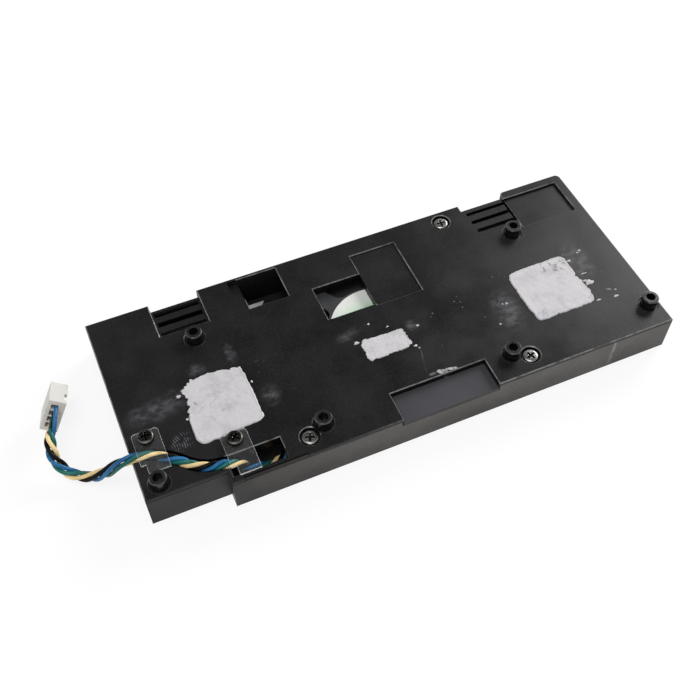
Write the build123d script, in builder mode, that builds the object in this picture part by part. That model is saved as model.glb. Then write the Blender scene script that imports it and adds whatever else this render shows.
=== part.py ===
from build123d import *
import math
import os

os.makedirs("parts", exist_ok=True)

# A low-profile blower cooler for a two-chip graphics card, in millimetres.
# It lies on its intake side with the board side up, so +Z is towards the card.
# The origin is under the middle of the housing, on the surface it lies on.

# Housing and base plate
length = 148.0
width = 61.4
plate_top = 12.1
plate_thickness = 3.0
flange = 0.8
seam_depth = 0.3
seam_height = 0.3
wall = 1.1
floor_thickness = 1.2
seat_gap = 0.15
edge_chamfer = 0.3
rim_chamfer = 0.25

# Outline: a step in the front edge and two notches in the back edge
step_from_left = 20.8
step_depth = 3.75
notch_depth = 2.3
notch_width = 13.9
left_notch_from_end = 17.7
right_notch_from_end = 20.6
tab_corner = 1.5

# Chip contacts and the three board posts round each of them
left_chip_from_end = 26.1
right_chip_from_end = 24.75
chip_from_front = 23.3
post_pair_spacing = 43.0
post_pair_offset = 16.05
post_apex_offset = 22.25
post_height = 3.0
post_radius = 2.25
post_well_radius = 2.8
post_well_depth = 0.5
post_chamfer = 0.3
post_spigot_radius = 1.9
post_spigot_length = 2.0
post_fit = 0.03
tapped_radius = 1.25
tapped_depth = 2.9

# Screws that hold the plate to the housing
shroud_screw_aside = 4.6
shroud_screw_forward = 2.2
back_screw_from_end = 42.0
back_screw_from_back = 3.9
counterbore_radius = 2.65
counterbore_depth = 1.4
shroud_head_radius = 2.15
shroud_head_height = 1.1
shroud_shank_radius = 1.1
shroud_shank_length = 6.0
shank_clearance = 0.1
boss_radius = 2.4
boss_rib_width = 1.0
pilot_bottom = 3.0
pilot_fit = 0.02

fan_head_radius = 1.75
fan_head_height = 1.2
fan_shank_radius = 0.8
fan_shank_length = 3.0

# Windows and recesses in the plate
window_low = (-12.75, 5.35)
window_size = (14.3, 11.6)
dish_size = (13.8, 19.2)
dish_depth = 0.45
dish_overhang = 0.6
tray_from_fan = -7.65
tray_width = 27.6
tray_reach = 8.6
tray_depth = 1.9
tray_side_gap = 0.3
tray_under_gap = 0.05
side_window_from_notch = 8.6
side_window_width = 14.5
side_window_lip = 1.0
side_window_reach = 11.1
side_ledge = ((0.0, 0.0), (0.25, 4.3), (1.6, 5.6), (3.0, 8.2))
ledge_depth = 1.6
grille_drop = 0.5
left_slots = ((3.2, 1.5), (6.7, 1.6), (10.3, 1.4))
right_slots = ((3.9, 1.1), (7.2, 1.3), (10.7, 1.3))
slot_end_margin = 0.6
groove_width = 0.9
groove_from_back = 3.1
corner_tray_size = (17.7, 12.2)
corner_tray_offset = 2.8
corner_tray_depth = 0.8
front_ledge_width = 0.9
front_ledge_span = (24.0, 41.0)

# Blower
fan_x = 0.35
fan_y = 1.15
intake_radius = 19.0
intake_edge = 0.5
frame_thickness = 1.0
frame_radius = 14.0
label_radius = 13.4
label_thickness = 0.1
label_gap = 0.05
arm_angle = 126.5
arm_width = 5.2
arm_root = 2.5
arm_count = 3
ear_radius = 2.2
ear_side_gap = 1.4
lead_space = 1.9
blade_gap = 0.7
hub_gap = 0.4
blade_count = 29
blade_thickness = 0.5
blade_inner_radius = 17.2
blade_lean = 11.0
blade_bow = 6.5
blade_tip_inset = 0.1
ring_width = 1.2
ring_height = 0.6
backplate_thickness = 0.6
backplate_inset = 0.6
impeller_ear_gap = 3.0
hub_radius = 12.0
hub_wall = 1.0
hub_round = 0.5
yoke_wall = 0.5
magnet_wall = 1.1
magnet_inset = 0.6
magnet_end_gap = 0.1
air_gap = 0.4

# Motor inside the hub
tube_radius = 2.6
tube_wall = 0.6
tube_end_gap = 0.3
bearing_inset = 0.2
bearing_chamfer = 0.2
thrust_pad_thickness = 0.6
shaft_radius = 0.75
shaft_clearance = 0.03
groove_radius = 0.5
clip_radius = 1.5
clip_thickness = 0.25
clip_opening = 0.5
clip_from_shaft_end = 0.5
clip_gap = 0.15
clip_play = 0.02
shaft_seat = 0.1
tube_socket = 0.6
socket_boss_radius = 3.8
socket_boss_height = 1.4
core_thickness = 2.0
core_lift = 1.2
core_ring = 1.2
pole_count = 4
pole_width = 1.8
pole_turn = 20.0
shoe_thickness = 0.9
shoe_half_angle = 36.0
coil_overhang = 0.5
coil_side = 1.1
coil_end_gap = 0.4
coil_shoe_gap = 0.6
coil_gap = 0.1
coil_round = 0.45
board_thickness = 0.6
board_radius = 10.6
board_hole_gap = 0.3
driver_size = (3.0, 4.0, 0.8)
driver_angle = 60.0
driver_chamfer = 0.15

# Fins
fin_thickness = 0.4
fin_pitch = 2.3
fin_base = 0.8
fin_floor_gap = 0.3
fin_end_gap = 5.2
fin_circle = 33.4
fin_back_reach = 20.85
left_fin_front_reach = 20.65
right_fin_front_reach = 22.65
outlet_half_width = 22.0
outlet_sill = 0.7

# Cable, clips and connector
lead_diameter = 1.0
cable_diameter = 2.7
channel_width = 3.6
channel_depth = 2.3
slot_size = (14.4, 6.0)
slot_from_left = 21.6
slot_from_front = 1.9
clip_size = (6.9, 12.2)
clip_insets = ((1.8, 10.0), (22.0, 1.0))
clip_sheet = 0.6
clip_lift = 0.8
clip_notch = (1.3, 2.6)
clip_corner = 0.9
clip_screw_inset = (3.4, 2.3)
clip_boss_radius = 2.0
clip_hole_radius = 1.1
clip_head_radius = 2.1
clip_head_height = 1.2
clip_shank_radius = 0.9
clip_shank_length = 3.4
housing_size = (9.8, 8.0, 4.5)
circuits = 4
circuit_pitch = 2.0
cavity_size = (1.5, 1.8)
cavity_end_wall = 1.2
latch_window = (1.05, 1.6)
latch_from_middle = 0.2
pin_hole = 0.9
housing_step = 0.8
wire_flange = 1.4
rib_width = 1.0
rib_length = 4.2
terminal_gap = 0.15
terminal_wall = 0.2
terminal_inset = 2.2
terminal_length = 4.2

# Thermal compound left on the plate
compound_thickness = 0.3
left_patch = ((-8.9, -9.1), (8.0, -7.9), (8.1, 8.9), (4.2, 10.4), (-4.2, 9.8), (-8.3, 7.2))
middle_patch = ((-7.85, -12.0), (3.55, -12.05), (4.4, -5.25), (-8.05, -4.55))
right_patch = ((-8.65, -9.1), (9.15, -8.3), (8.25, 8.7), (-9.05, 8.4))

# Levels and edges worked out from the sizes above
left = -length / 2
right = length / 2
front = -width / 2
back = width / 2
plate_under = plate_top - plate_thickness
flange_under = plate_top - flange
body_inset = wall + seat_gap
inner_floor = floor_thickness
post_seat = plate_top - post_well_depth
post_top = plate_top + post_height
frame_under = plate_under - frame_thickness
board_under = frame_under - board_thickness
impeller_top = frame_under - lead_space
blade_bottom = inner_floor + blade_gap
hub_bottom = inner_floor + hub_gap
hub_face = hub_bottom + backplate_thickness
yoke_radius = hub_radius - hub_wall
yoke_face = hub_face + yoke_wall
magnet_radius = yoke_radius - yoke_wall
magnet_bore = magnet_radius - magnet_wall
core_radius = magnet_bore - air_gap
core_bottom = yoke_face + core_lift
core_top = core_bottom + core_thickness
tube_bottom = yoke_face + tube_end_gap
tube_top = frame_under + tube_socket
tube_bore = tube_radius - tube_wall
bearing_bottom = tube_bottom + bearing_inset
shaft_top = tube_top - thrust_pad_thickness
clip_bottom = shaft_top - clip_from_shaft_end
bearing_top = clip_bottom - clip_gap
ear_circle = width / 2 - wall - ear_side_gap
impeller_radius = ear_circle - ear_radius - impeller_ear_gap
chips = (left + left_chip_from_end, right - right_chip_from_end)
chip_y = front + chip_from_front
left_notch = left + left_notch_from_end
right_notch = right - right_notch_from_end - notch_width
slot_low = (left + slot_from_left, front + slot_from_front)
channel_floor = plate_top - channel_depth
clip_under = plate_top + clip_lift
tray_left = fan_x + tray_from_fan

posts = []
for chip_x in chips:
    posts.append((chip_x, chip_y + post_apex_offset))
    posts.append((chip_x - post_pair_spacing / 2, chip_y - post_pair_offset))
    posts.append((chip_x + post_pair_spacing / 2, chip_y - post_pair_offset))

left_inner_post = posts[2]
right_inner_post = posts[4]
shroud_screws_at = [
    (left_inner_post[0] - shroud_screw_aside, left_inner_post[1] - shroud_screw_forward),
    (right_inner_post[0] + shroud_screw_aside, right_inner_post[1] - shroud_screw_forward),
    (right - back_screw_from_end, back - back_screw_from_back),
]

ear_angles = [arm_angle + 360.0 / arm_count * turn for turn in range(arm_count)]
ears_at = []
for angle in ear_angles:
    along = math.radians(angle)
    ears_at.append((fan_x + ear_circle * math.cos(along), fan_y + ear_circle * math.sin(along)))

# Each clip is given by its low corner; both are the same piece
clips_low = [(left + inset[0], front + inset[1]) for inset in clip_insets]
clip_screws_at = []
for low in clips_low:
    clip_screws_at.append((low[0] + clip_screw_inset[0], low[1] + clip_size[1] - clip_screw_inset[1]))

# The cable's route, chosen by hand: out of the slot, along the plate's channel,
# over the end of the plate, down to the surface and round to the connector
cable_route = [
    (-47.9, -25.3, 8.55),
    (-52.0, -24.5, 11.45),
    (-57.0, -23.7, 11.45),
    (-60.4, -21.8, 11.45),
    (-63.2, -18.9, 11.45),
    (-66.5, -16.2, 11.45),
    (-71.0, -14.05, 11.6),
    (-75.9, -13.6, 11.0),
    (-79.4, -12.6, 7.9),
    (-82.6, -10.9, 4.2),
    (-86.2, -8.7, 2.6),
    (-89.6, -6.45, 3.3),
    (-91.65, -3.6, 5.35),
    (-91.9, -0.2, 7.65),
    (-90.65, 3.4, 8.85),
    (-89.35, 6.54, 8.49),
    (-88.888, 8.669, 7.754),
]
inner_route = [
    (-16.2, -19.1, 7.3),
    (-18.3, -21.65, 7.3),
    (-22.3, -22.6, 6.8),
    (-28.0, -21.5, 5.8),
    (-34.2, -21.9, 4.6),
    (-39.2, -25.0, 3.9),
    (-43.86, -26.09, 5.69),
    cable_route[0],
]
lead_angle = 230.6
lead_start = 8.6
lead_pitch = 1.5
lead_bend = 17.0
lead_straight = 1.8
connector_plane = Plane(
    origin=(-88.08, 12.37, 6.47), x_dir=(-0.512, -0.18, -0.84), z_dir=(0.835, -0.334, -0.437)
)


def arc_radii(points):
    """The radius of the arc at each inner point: 0.45 of the shorter run over tan of half the turn."""
    radii = []
    for before, point, after in zip(points, points[1:], points[2:]):
        first = Vector(*point) - Vector(*before)
        second = Vector(*after) - Vector(*point)
        half_turn = math.radians(first.get_angle(second)) / 2
        radii.append(0.45 * min(first.length, second.length) / math.tan(half_turn))
    return radii


def polar(radius, angle):
    """The point at a radius and an angle in degrees."""
    return (radius * math.cos(math.radians(angle)), radius * math.sin(math.radians(angle)))


def outline(inset=0.0):
    """The housing's outline seen from above, moved inwards by inset."""
    step = left + step_from_left
    with BuildSketch() as shape:
        with BuildLine():
            Polyline(
                (left, front + step_depth),
                (step, front + step_depth),
                (step, front),
                (right, front),
                (right, back),
                (right_notch + notch_width, back),
                (right_notch + notch_width, back - notch_depth),
                (right_notch, back - notch_depth),
                (right_notch, back),
                (left_notch + notch_width, back),
                (left_notch + notch_width, back - notch_depth),
                (left_notch, back - notch_depth),
                (left_notch, back),
                (left, back),
                close=True,
            )
        make_face()
        back_corners = shape.vertices().group_by(Axis.Y)[-1].sort_by(Axis.X)
        fillet(back_corners[-2:], radius=tab_corner)
        if inset > 0:
            offset(amount=-inset, kind=Kind.INTERSECTION)
    return shape.sketch


def box_face(low, size):
    """A rectangle drawn from its low corner."""
    with Locations((low[0], low[1])):
        Rectangle(size[0], size[1], align=(Align.MIN, Align.MIN))


def recess(low, size, floor):
    """A cutter for a recess in the plate: straight sides down to its floor and a chamfered rim."""
    with BuildPart() as cutter:
        with BuildSketch(Plane.XY.offset(floor)):
            box_face(low, size)
        extrude(amount=plate_top + 1 - floor)
        with BuildSketch(Plane.XY.offset(plate_top)):
            box_face(
                (low[0] - rim_chamfer, low[1] - rim_chamfer),
                (size[0] + 2 * rim_chamfer, size[1] + 2 * rim_chamfer),
            )
        extrude(amount=-rim_chamfer, taper=45)
    return cutter.part


def round_recess(places, radius, floor):
    """A cutter for round recesses with a chamfered rim, at each of the places."""
    with BuildPart() as cutter:
        with BuildSketch(Plane.XY.offset(floor)):
            with Locations(*places):
                Circle(radius)
        extrude(amount=plate_top + 1 - floor)
        with BuildSketch(Plane.XY.offset(plate_top)):
            with Locations(*places):
                Circle(radius + rim_chamfer)
        extrude(amount=-rim_chamfer, taper=45)
    return cutter.part


# Base plate: a flange on the housing's walls and a body that drops in between them
with BuildPart() as base_plate:
    with BuildSketch(Plane.XY.offset(flange_under)):
        add(outline())
    extrude(amount=flange)
    chamfer(base_plate.faces().sort_by(Axis.Z)[-1].edges(), length=edge_chamfer)
    with BuildSketch(Plane.XY.offset(plate_under)):
        add(outline(body_inset))
    extrude(amount=flange_under - plate_under)

    # Front tray, open towards the front edge, with its sill over the lowered wall
    with BuildSketch(Plane.XY.offset(plate_under)):
        box_face((tray_left, front), (tray_width, body_inset + seat_gap))
    extrude(amount=flange_under - plate_under)
    add(
        recess((tray_left, front - 1), (tray_width, tray_reach + 1), plate_top - tray_depth),
        mode=Mode.SUBTRACT,
    )

    # Ledge in the front edge beside the cable slot
    with BuildSketch(Plane.XY.offset(flange_under)):
        box_face(
            (left + front_ledge_span[0], front - 1),
            (front_ledge_span[1] - front_ledge_span[0], 1 + front_ledge_width),
        )
    extrude(amount=flange + 1, mode=Mode.SUBTRACT)

    # Window over the fan and the shallow dish beside it
    window_at = (fan_x + window_low[0], fan_y + window_low[1])
    dish_at = (window_at[0] + window_size[0], window_at[1] - dish_overhang)
    add(recess(window_at, window_size, plate_under - 1), mode=Mode.SUBTRACT)
    add(recess(dish_at, dish_size, plate_top - dish_depth), mode=Mode.SUBTRACT)

    # Side window with a rounded ledge at its left
    side_left = left_notch + notch_width + side_window_from_notch
    side_top = back - side_window_lip
    ledge = [(side_left + along, side_top - down) for along, down in side_ledge]
    ledge_width = side_ledge[-1][0]
    add(
        recess(
            (side_left + ledge_width, side_top - side_window_reach),
            (side_window_width - ledge_width, side_window_reach),
            plate_under - 1,
        ),
        mode=Mode.SUBTRACT,
    )
    with BuildSketch(Plane.XY.offset(plate_top - ledge_depth)):
        with BuildLine():
            inside = side_left + ledge_width + rim_chamfer
            bay = Polyline((inside, side_top), *ledge[:3])
            bend = TangentArc(bay @ 1, ledge[3], tangent=bay % 1)
            Polyline(bend @ 1, (inside, ledge[3][1]), bay @ 0)
        make_face()
    extrude(amount=ledge_depth + 1, mode=Mode.SUBTRACT)

    # Left grille: a lowered field with three slots
    grille_reach = left_slots[-1][0] + left_slots[-1][1]
    add(
        recess(
            (left_notch, back - grille_reach),
            (notch_width, grille_reach + 1),
            plate_top - grille_drop,
        ),
        mode=Mode.SUBTRACT,
    )
    with BuildSketch(Plane.XY.offset(plate_under)):
        for depth, opening in left_slots:
            box_face(
                (left_notch + slot_end_margin, back - depth - opening),
                (notch_width - 2 * slot_end_margin, opening),
            )
    extrude(amount=plate_thickness, mode=Mode.SUBTRACT)

    # Right grille: round-ended slots level with the plate and a groove across their ends
    groove_reach = right_slots[-1][0] + right_slots[-1][1]
    with BuildSketch(Plane.XY.offset(plate_under)):
        for depth, opening in right_slots:
            middle = (right_notch + notch_width / 2, back - depth - opening / 2)
            with Locations(middle):
                SlotOverall(notch_width - 2 * slot_end_margin, opening)
    extrude(amount=plate_thickness + 1, mode=Mode.SUBTRACT)
    with BuildSketch(Plane.XY.offset(plate_top - ledge_depth)):
        box_face(
            (right_notch + notch_width - groove_width, back - groove_reach),
            (groove_width, groove_reach - groove_from_back),
        )
    extrude(amount=ledge_depth + 1, mode=Mode.SUBTRACT)
    corner_tray_at = (
        right - corner_tray_offset - corner_tray_size[0],
        back - corner_tray_offset - corner_tray_size[1],
    )
    add(recess(corner_tray_at, corner_tray_size, plate_top - corner_tray_depth), mode=Mode.SUBTRACT)

    # Bosses under the clips, which the cable's channel trims
    with BuildSketch(Plane.XY.offset(plate_top)):
        with Locations(*clip_screws_at):
            Circle(clip_boss_radius)
    extrude(amount=clip_lift)

    # Cable slot and the channel that leads from it over the left end
    add(recess(slot_low, slot_size, plate_under - 1), mode=Mode.SUBTRACT)
    channel_route = [(x, y, channel_floor) for x, y, z in cable_route[1:8]]
    with BuildSketch(Plane.XY.offset(channel_floor)):
        with BuildLine():
            FilletPolyline(*[(x, y) for x, y, z in channel_route], radius=arc_radii(channel_route))
        trace(line_width=channel_width)
    extrude(amount=channel_depth + 1, mode=Mode.SUBTRACT)

    # Shallow wells with a hole in each that a board post is pressed into
    add(round_recess(posts, post_well_radius, post_seat), mode=Mode.SUBTRACT)
    with BuildSketch(Plane.XY.offset(plate_under)):
        with Locations(*posts):
            Circle(post_spigot_radius + post_fit)
    extrude(amount=plate_thickness, mode=Mode.SUBTRACT)
    add(
        round_recess(shroud_screws_at, counterbore_radius, plate_top - counterbore_depth),
        mode=Mode.SUBTRACT,
    )
    with BuildSketch(Plane.XY.offset(plate_under)):
        with Locations(*shroud_screws_at):
            Circle(shroud_shank_radius + shank_clearance)
    extrude(amount=plate_thickness, mode=Mode.SUBTRACT)

    # Blind holes for the clip screws and the fan screws
    with BuildSketch(Plane.XY.offset(clip_under + clip_sheet - clip_shank_length - 0.2)):
        with Locations(*clip_screws_at):
            Circle(clip_shank_radius + shank_clearance / 2)
    extrude(amount=plate_thickness + clip_lift, mode=Mode.SUBTRACT)
    with BuildSketch(Plane.XY.offset(plate_under)):
        with Locations(*ears_at):
            Circle(fan_shank_radius + shank_clearance / 2)
    extrude(amount=fan_shank_length - frame_thickness + 0.2, mode=Mode.SUBTRACT)
base_plate.part.label = "base_plate"
export_step(base_plate.part, "parts/base_plate.step")

# Board posts: six standoffs with a shoulder on the well floor and a pressed spigot, tapped from the top
with BuildPart() as board_posts:
    with BuildSketch(Plane.XY.offset(post_seat)):
        with Locations(*posts):
            Circle(post_radius)
    extrude(amount=post_top - post_seat)
    chamfer(board_posts.faces().group_by(Axis.Z)[-1].edges(), length=post_chamfer)
    with BuildSketch(Plane.XY.offset(post_seat - post_spigot_length)):
        with Locations(*posts):
            Circle(post_spigot_radius)
    extrude(amount=post_spigot_length)
    with BuildSketch(Plane.XY.offset(post_top - tapped_depth)):
        with Locations(*posts):
            Circle(tapped_radius)
    extrude(amount=tapped_depth + 1, mode=Mode.SUBTRACT)
board_posts.part.label = "board_posts"
export_step(board_posts.part, "parts/board_posts.step")

# Housing: floor, front and back walls, open ends, and bosses for its screws
with BuildPart() as housing:
    with BuildSketch():
        add(outline())
    extrude(amount=flange_under)
    chamfer(housing.faces().sort_by(Axis.Z)[0].edges(), length=edge_chamfer)
    with BuildSketch(Plane.XY.offset(inner_floor)):
        add(outline(wall))
    extrude(amount=flange_under, mode=Mode.SUBTRACT)
    outlet_height = flange_under - inner_floor - outlet_sill
    for end in (left, right):
        with BuildSketch(Plane.XY.offset(inner_floor + outlet_sill)):
            with Locations((end, 0)):
                Rectangle(4 * wall, 2 * outlet_half_width)
        extrude(amount=outlet_height + 1, mode=Mode.SUBTRACT)
    with BuildSketch(Plane.XY.offset(plate_under - tray_under_gap)):
        box_face(
            (tray_left - tray_side_gap, front - 1), (tray_width + 2 * tray_side_gap, 1 + wall)
        )
    extrude(amount=plate_top, mode=Mode.SUBTRACT)

    # A fine groove under the plate's flange, round the top of the walls
    with BuildSketch(Plane.XY.offset(flange_under - seam_height)):
        add(outline())
        add(outline(seam_depth), mode=Mode.SUBTRACT)
    extrude(amount=seam_height, mode=Mode.SUBTRACT)

    # Bosses for the screws, each tied to its wall by a rib
    with BuildSketch(Plane.XY.offset(inner_floor)):
        with Locations(*shroud_screws_at):
            Circle(boss_radius)
        for x, y in shroud_screws_at:
            edge = back - wall / 2 if y > 0 else front + wall / 2
            with Locations((x, (y + edge) / 2)):
                Rectangle(boss_rib_width, abs(edge - y))
    extrude(amount=plate_under - inner_floor)
    with BuildSketch(Plane.XY.offset(pilot_bottom)):
        with Locations(*shroud_screws_at):
            Circle(shroud_shank_radius + pilot_fit)
    extrude(amount=plate_under, mode=Mode.SUBTRACT)
    with BuildSketch():
        with Locations((fan_x, fan_y)):
            Circle(intake_radius)
    extrude(amount=inner_floor, mode=Mode.SUBTRACT)
    mouth = housing.edges().filter_by(GeomType.CIRCLE).filter_by(
        lambda edge: abs(edge.radius - intake_radius) < 0.01
    )
    fillet(mouth.sort_by(Axis.Z)[0], radius=intake_edge)
housing.part.label = "housing"
export_step(housing.part, "parts/housing.step")


# Fin banks: a base soldered under the plate and thin fins along the air's way out
def fin_bank(outer_x, low_y, high_y):
    """Fins between the housing's end and a circle that leaves room for the blower."""
    count = int((high_y - low_y - fin_thickness) / fin_pitch) + 1
    spare = (high_y - low_y) - (count - 1) * fin_pitch - fin_thickness
    fin_bottom = inner_floor + fin_floor_gap
    base_under = plate_under - fin_base
    inward = -1 if outer_x > 0 else 1
    with BuildPart() as bank:
        with BuildSketch(Plane.YZ.offset(outer_x)):
            with Locations((low_y, base_under)):
                Rectangle(high_y - low_y, fin_base, align=(Align.MIN, Align.MIN))
            for number in range(count):
                with Locations((low_y + spare / 2 + number * fin_pitch, fin_bottom)):
                    Rectangle(
                        fin_thickness, base_under - fin_bottom, align=(Align.MIN, Align.MIN)
                    )
        extrude(amount=inward * abs(outer_x))
        with BuildSketch():
            with Locations((fan_x, fan_y)):
                Circle(fin_circle)
        extrude(amount=plate_top, mode=Mode.SUBTRACT)
    # What lies beyond the circle on the far side is left out
    keep = bank.part.solids().sort_by(Axis.X)
    return keep[0] if outer_x < 0 else keep[-1]


with BuildPart() as fin_bank_left:
    add(fin_bank(left + fin_end_gap, fan_y - left_fin_front_reach, fan_y + fin_back_reach))
fin_bank_left.part.label = "fin_bank_left"
export_step(fin_bank_left.part, "parts/fin_bank_left.step")

with BuildPart() as fin_bank_right:
    add(fin_bank(right - fin_end_gap, fan_y - right_fin_front_reach, fan_y + fin_back_reach))
fin_bank_right.part.label = "fin_bank_right"
export_step(fin_bank_right.part, "parts/fin_bank_right.step")


# Fan frame: a disc under the plate with three arms that end in screw ears
def from_fan(point):
    """How far a point lies from the fan's axis."""
    return math.hypot(point.X - fan_x, point.Y - fan_y)


with BuildPart() as fan_frame:
    with BuildSketch(Plane.XY.offset(frame_under)) as frame_shape:
        with Locations((fan_x, fan_y)):
            Circle(frame_radius)
        for angle in ear_angles:
            with Locations(Location((fan_x, fan_y, 0), (0, 0, angle))):
                Rectangle(ear_circle, arm_width, align=(Align.MIN, Align.CENTER))
        with Locations(*ears_at):
            Circle(arm_width / 2)
        roots = frame_shape.vertices().filter_by(lambda v: abs(from_fan(v) - frame_radius) < 0.01)
        fillet(roots, radius=arm_root)
    extrude(amount=frame_thickness)
    with BuildSketch(Plane.XY.offset(frame_under)):
        with Locations((fan_x, fan_y)):
            Circle(socket_boss_radius)
    extrude(amount=-socket_boss_height)
    with BuildSketch(Plane.XY.offset(frame_under + tube_socket)):
        with Locations((fan_x, fan_y)):
            Circle(tube_radius)
    extrude(amount=-(tube_socket + socket_boss_height), mode=Mode.SUBTRACT)
    with BuildSketch(Plane.XY.offset(plate_under - label_thickness)):
        with Locations((fan_x, fan_y)):
            Circle(label_radius + label_gap)
    extrude(amount=label_thickness, mode=Mode.SUBTRACT)
    with BuildSketch(Plane.XY.offset(frame_under)):
        with Locations(*ears_at):
            Circle(fan_shank_radius + 2 * shank_clearance)
    extrude(amount=frame_thickness, mode=Mode.SUBTRACT)
fan_frame.part.label = "fan_frame"
export_step(fan_frame.part, "parts/fan_frame.step")

with BuildPart() as fan_label:
    with BuildSketch(Plane.XY.offset(plate_under - label_thickness)):
        with Locations((fan_x, fan_y)):
            Circle(label_radius)
    extrude(amount=label_thickness)
fan_label.part.label = "fan_label"
export_step(fan_label.part, "parts/fan_label.step")


# Screws: a domed pan head on a plain shank, pointing down from its seat
def pan_screw(head_radius, head_height, shank_radius, shank_length):
    """One screw whose head stands on the plane Z = 0."""
    with BuildPart() as screw:
        with BuildSketch():
            Circle(head_radius)
        extrude(amount=head_height)
        fillet(screw.edges().sort_by(Axis.Z)[-1], radius=0.6 * head_height)
        with BuildSketch(Plane.XY.offset(-shank_length)):
            Circle(shank_radius)
        extrude(amount=shank_length)
    return screw.part


with BuildPart() as shroud_screws:
    one_screw = pan_screw(
        shroud_head_radius, shroud_head_height, shroud_shank_radius, shroud_shank_length
    )
    with Locations(*[(x, y, plate_top - counterbore_depth) for x, y in shroud_screws_at]):
        add(one_screw)
shroud_screws.part.label = "shroud_screws"
export_step(shroud_screws.part, "parts/shroud_screws.step")

with BuildPart() as fan_screws:
    one_screw = pan_screw(fan_head_radius, fan_head_height, fan_shank_radius, fan_shank_length)
    with Locations(*[Location((x, y, frame_under), (180, 0, 0)) for x, y in ears_at]):
        add(one_screw)
fan_screws.part.label = "fan_screws"
export_step(fan_screws.part, "parts/fan_screws.step")

with BuildPart() as clip_screws:
    one_screw = pan_screw(clip_head_radius, clip_head_height, clip_shank_radius, clip_shank_length)
    with Locations(*[(x, y, clip_under + clip_sheet) for x, y in clip_screws_at]):
        add(one_screw)
clip_screws.part.label = "clip_screws"
export_step(clip_screws.part, "parts/clip_screws.step")


# Motor: bearing tube and sleeve, board, stator and its coils
def tube(outer, inner, bottom, top):
    """A ring round the fan's axis."""
    with BuildPart() as ring:
        with BuildSketch(Plane.XY.offset(bottom)):
            with Locations((fan_x, fan_y)):
                Circle(outer)
                if inner > 0:
                    Circle(inner, mode=Mode.SUBTRACT)
        extrude(amount=top - bottom)
    return ring.part


with BuildPart() as bearing_tube:
    add(tube(tube_radius, tube_bore, tube_bottom, tube_top))
bearing_tube.part.label = "bearing_tube"
export_step(bearing_tube.part, "parts/bearing_tube.step")

with BuildPart() as sleeve_bearing:
    add(tube(tube_bore, shaft_radius + shaft_clearance, bearing_bottom, bearing_top))
    rims = sleeve_bearing.edges().filter_by(GeomType.CIRCLE)
    chamfer(rims.filter_by(lambda rim: abs(rim.radius - tube_bore) < 0.01), length=bearing_chamfer)
sleeve_bearing.part.label = "sleeve_bearing"
export_step(sleeve_bearing.part, "parts/sleeve_bearing.step")

with BuildPart() as thrust_pad:
    add(tube(tube_bore, 0, shaft_top, tube_top))
thrust_pad.part.label = "thrust_pad"
export_step(thrust_pad.part, "parts/thrust_pad.step")

with BuildPart() as circuit_board:
    add(tube(board_radius, socket_boss_radius + board_hole_gap, board_under, frame_under))
circuit_board.part.label = "circuit_board"
export_step(circuit_board.part, "parts/circuit_board.step")

with BuildPart() as motor_driver:
    middle = (board_radius + socket_boss_radius + board_hole_gap) / 2
    with BuildSketch(Plane.XY.offset(board_under)):
        with Locations(Location((fan_x, fan_y, 0), (0, 0, driver_angle))):
            with Locations((middle, 0)):
                Rectangle(driver_size[0], driver_size[1])
    extrude(amount=-driver_size[2])
    chamfer(motor_driver.faces().sort_by(Axis.Z)[0].edges(), length=driver_chamfer)
motor_driver.part.label = "motor_driver"
export_step(motor_driver.part, "parts/motor_driver.step")

pole_angles = [pole_turn + 360.0 / pole_count * turn for turn in range(pole_count)]
with BuildPart() as stator_core:
    with BuildSketch(Plane.XY.offset(core_bottom)):
        with Locations((fan_x, fan_y)):
            Circle(core_radius)
            Circle(core_radius - shoe_thickness, mode=Mode.SUBTRACT)
        for angle in pole_angles:
            gap_angle = angle + 180.0 / pole_count
            with Locations(Location((fan_x, fan_y, 0), (0, 0, gap_angle))):
                Rectangle(
                    2 * core_radius,
                    2 * core_radius * math.sin(math.radians(180.0 / pole_count - shoe_half_angle)),
                    align=(Align.MIN, Align.CENTER),
                    mode=Mode.SUBTRACT,
                )
        for angle in pole_angles:
            with Locations(Location((fan_x, fan_y, 0), (0, 0, angle))):
                Rectangle(
                    core_radius - shoe_thickness / 2, pole_width, align=(Align.MIN, Align.CENTER)
                )
        with Locations((fan_x, fan_y)):
            Circle(tube_radius + core_ring)
            Circle(tube_radius, mode=Mode.SUBTRACT)
    extrude(amount=core_thickness)
stator_core.part.label = "stator_core"
export_step(stator_core.part, "parts/stator_core.step")

coil_inner = tube_radius + core_ring + coil_end_gap
coil_outer = core_radius - shoe_thickness - coil_shoe_gap
with BuildPart() as stator_coils:
    for angle in pole_angles:
        along = math.radians(angle)
        section = Plane(
            origin=(
                fan_x + coil_inner * math.cos(along),
                fan_y + coil_inner * math.sin(along),
                core_bottom + core_thickness / 2,
            ),
            x_dir=(-math.sin(along), math.cos(along), 0),
            z_dir=(math.cos(along), math.sin(along), 0),
        )
        with BuildSketch(section):
            RectangleRounded(
                pole_width + 2 * coil_side, core_thickness + 2 * coil_overhang, coil_round
            )
            Rectangle(pole_width + coil_gap, core_thickness + coil_gap, mode=Mode.SUBTRACT)
        extrude(amount=coil_outer - coil_inner)
stator_coils.part.label = "stator_coils"
export_step(stator_coils.part, "parts/stator_coils.step")

# Rotor: shaft with its retaining clip, steel cup, magnet ring and impeller
with BuildPart() as rotor_shaft:
    add(tube(shaft_radius, 0, hub_bottom + shaft_seat, shaft_top))
    add(
        tube(shaft_radius + 1, groove_radius, clip_bottom, clip_bottom + clip_thickness),
        mode=Mode.SUBTRACT,
    )
rotor_shaft.part.label = "rotor_shaft"
export_step(rotor_shaft.part, "parts/rotor_shaft.step")

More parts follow.
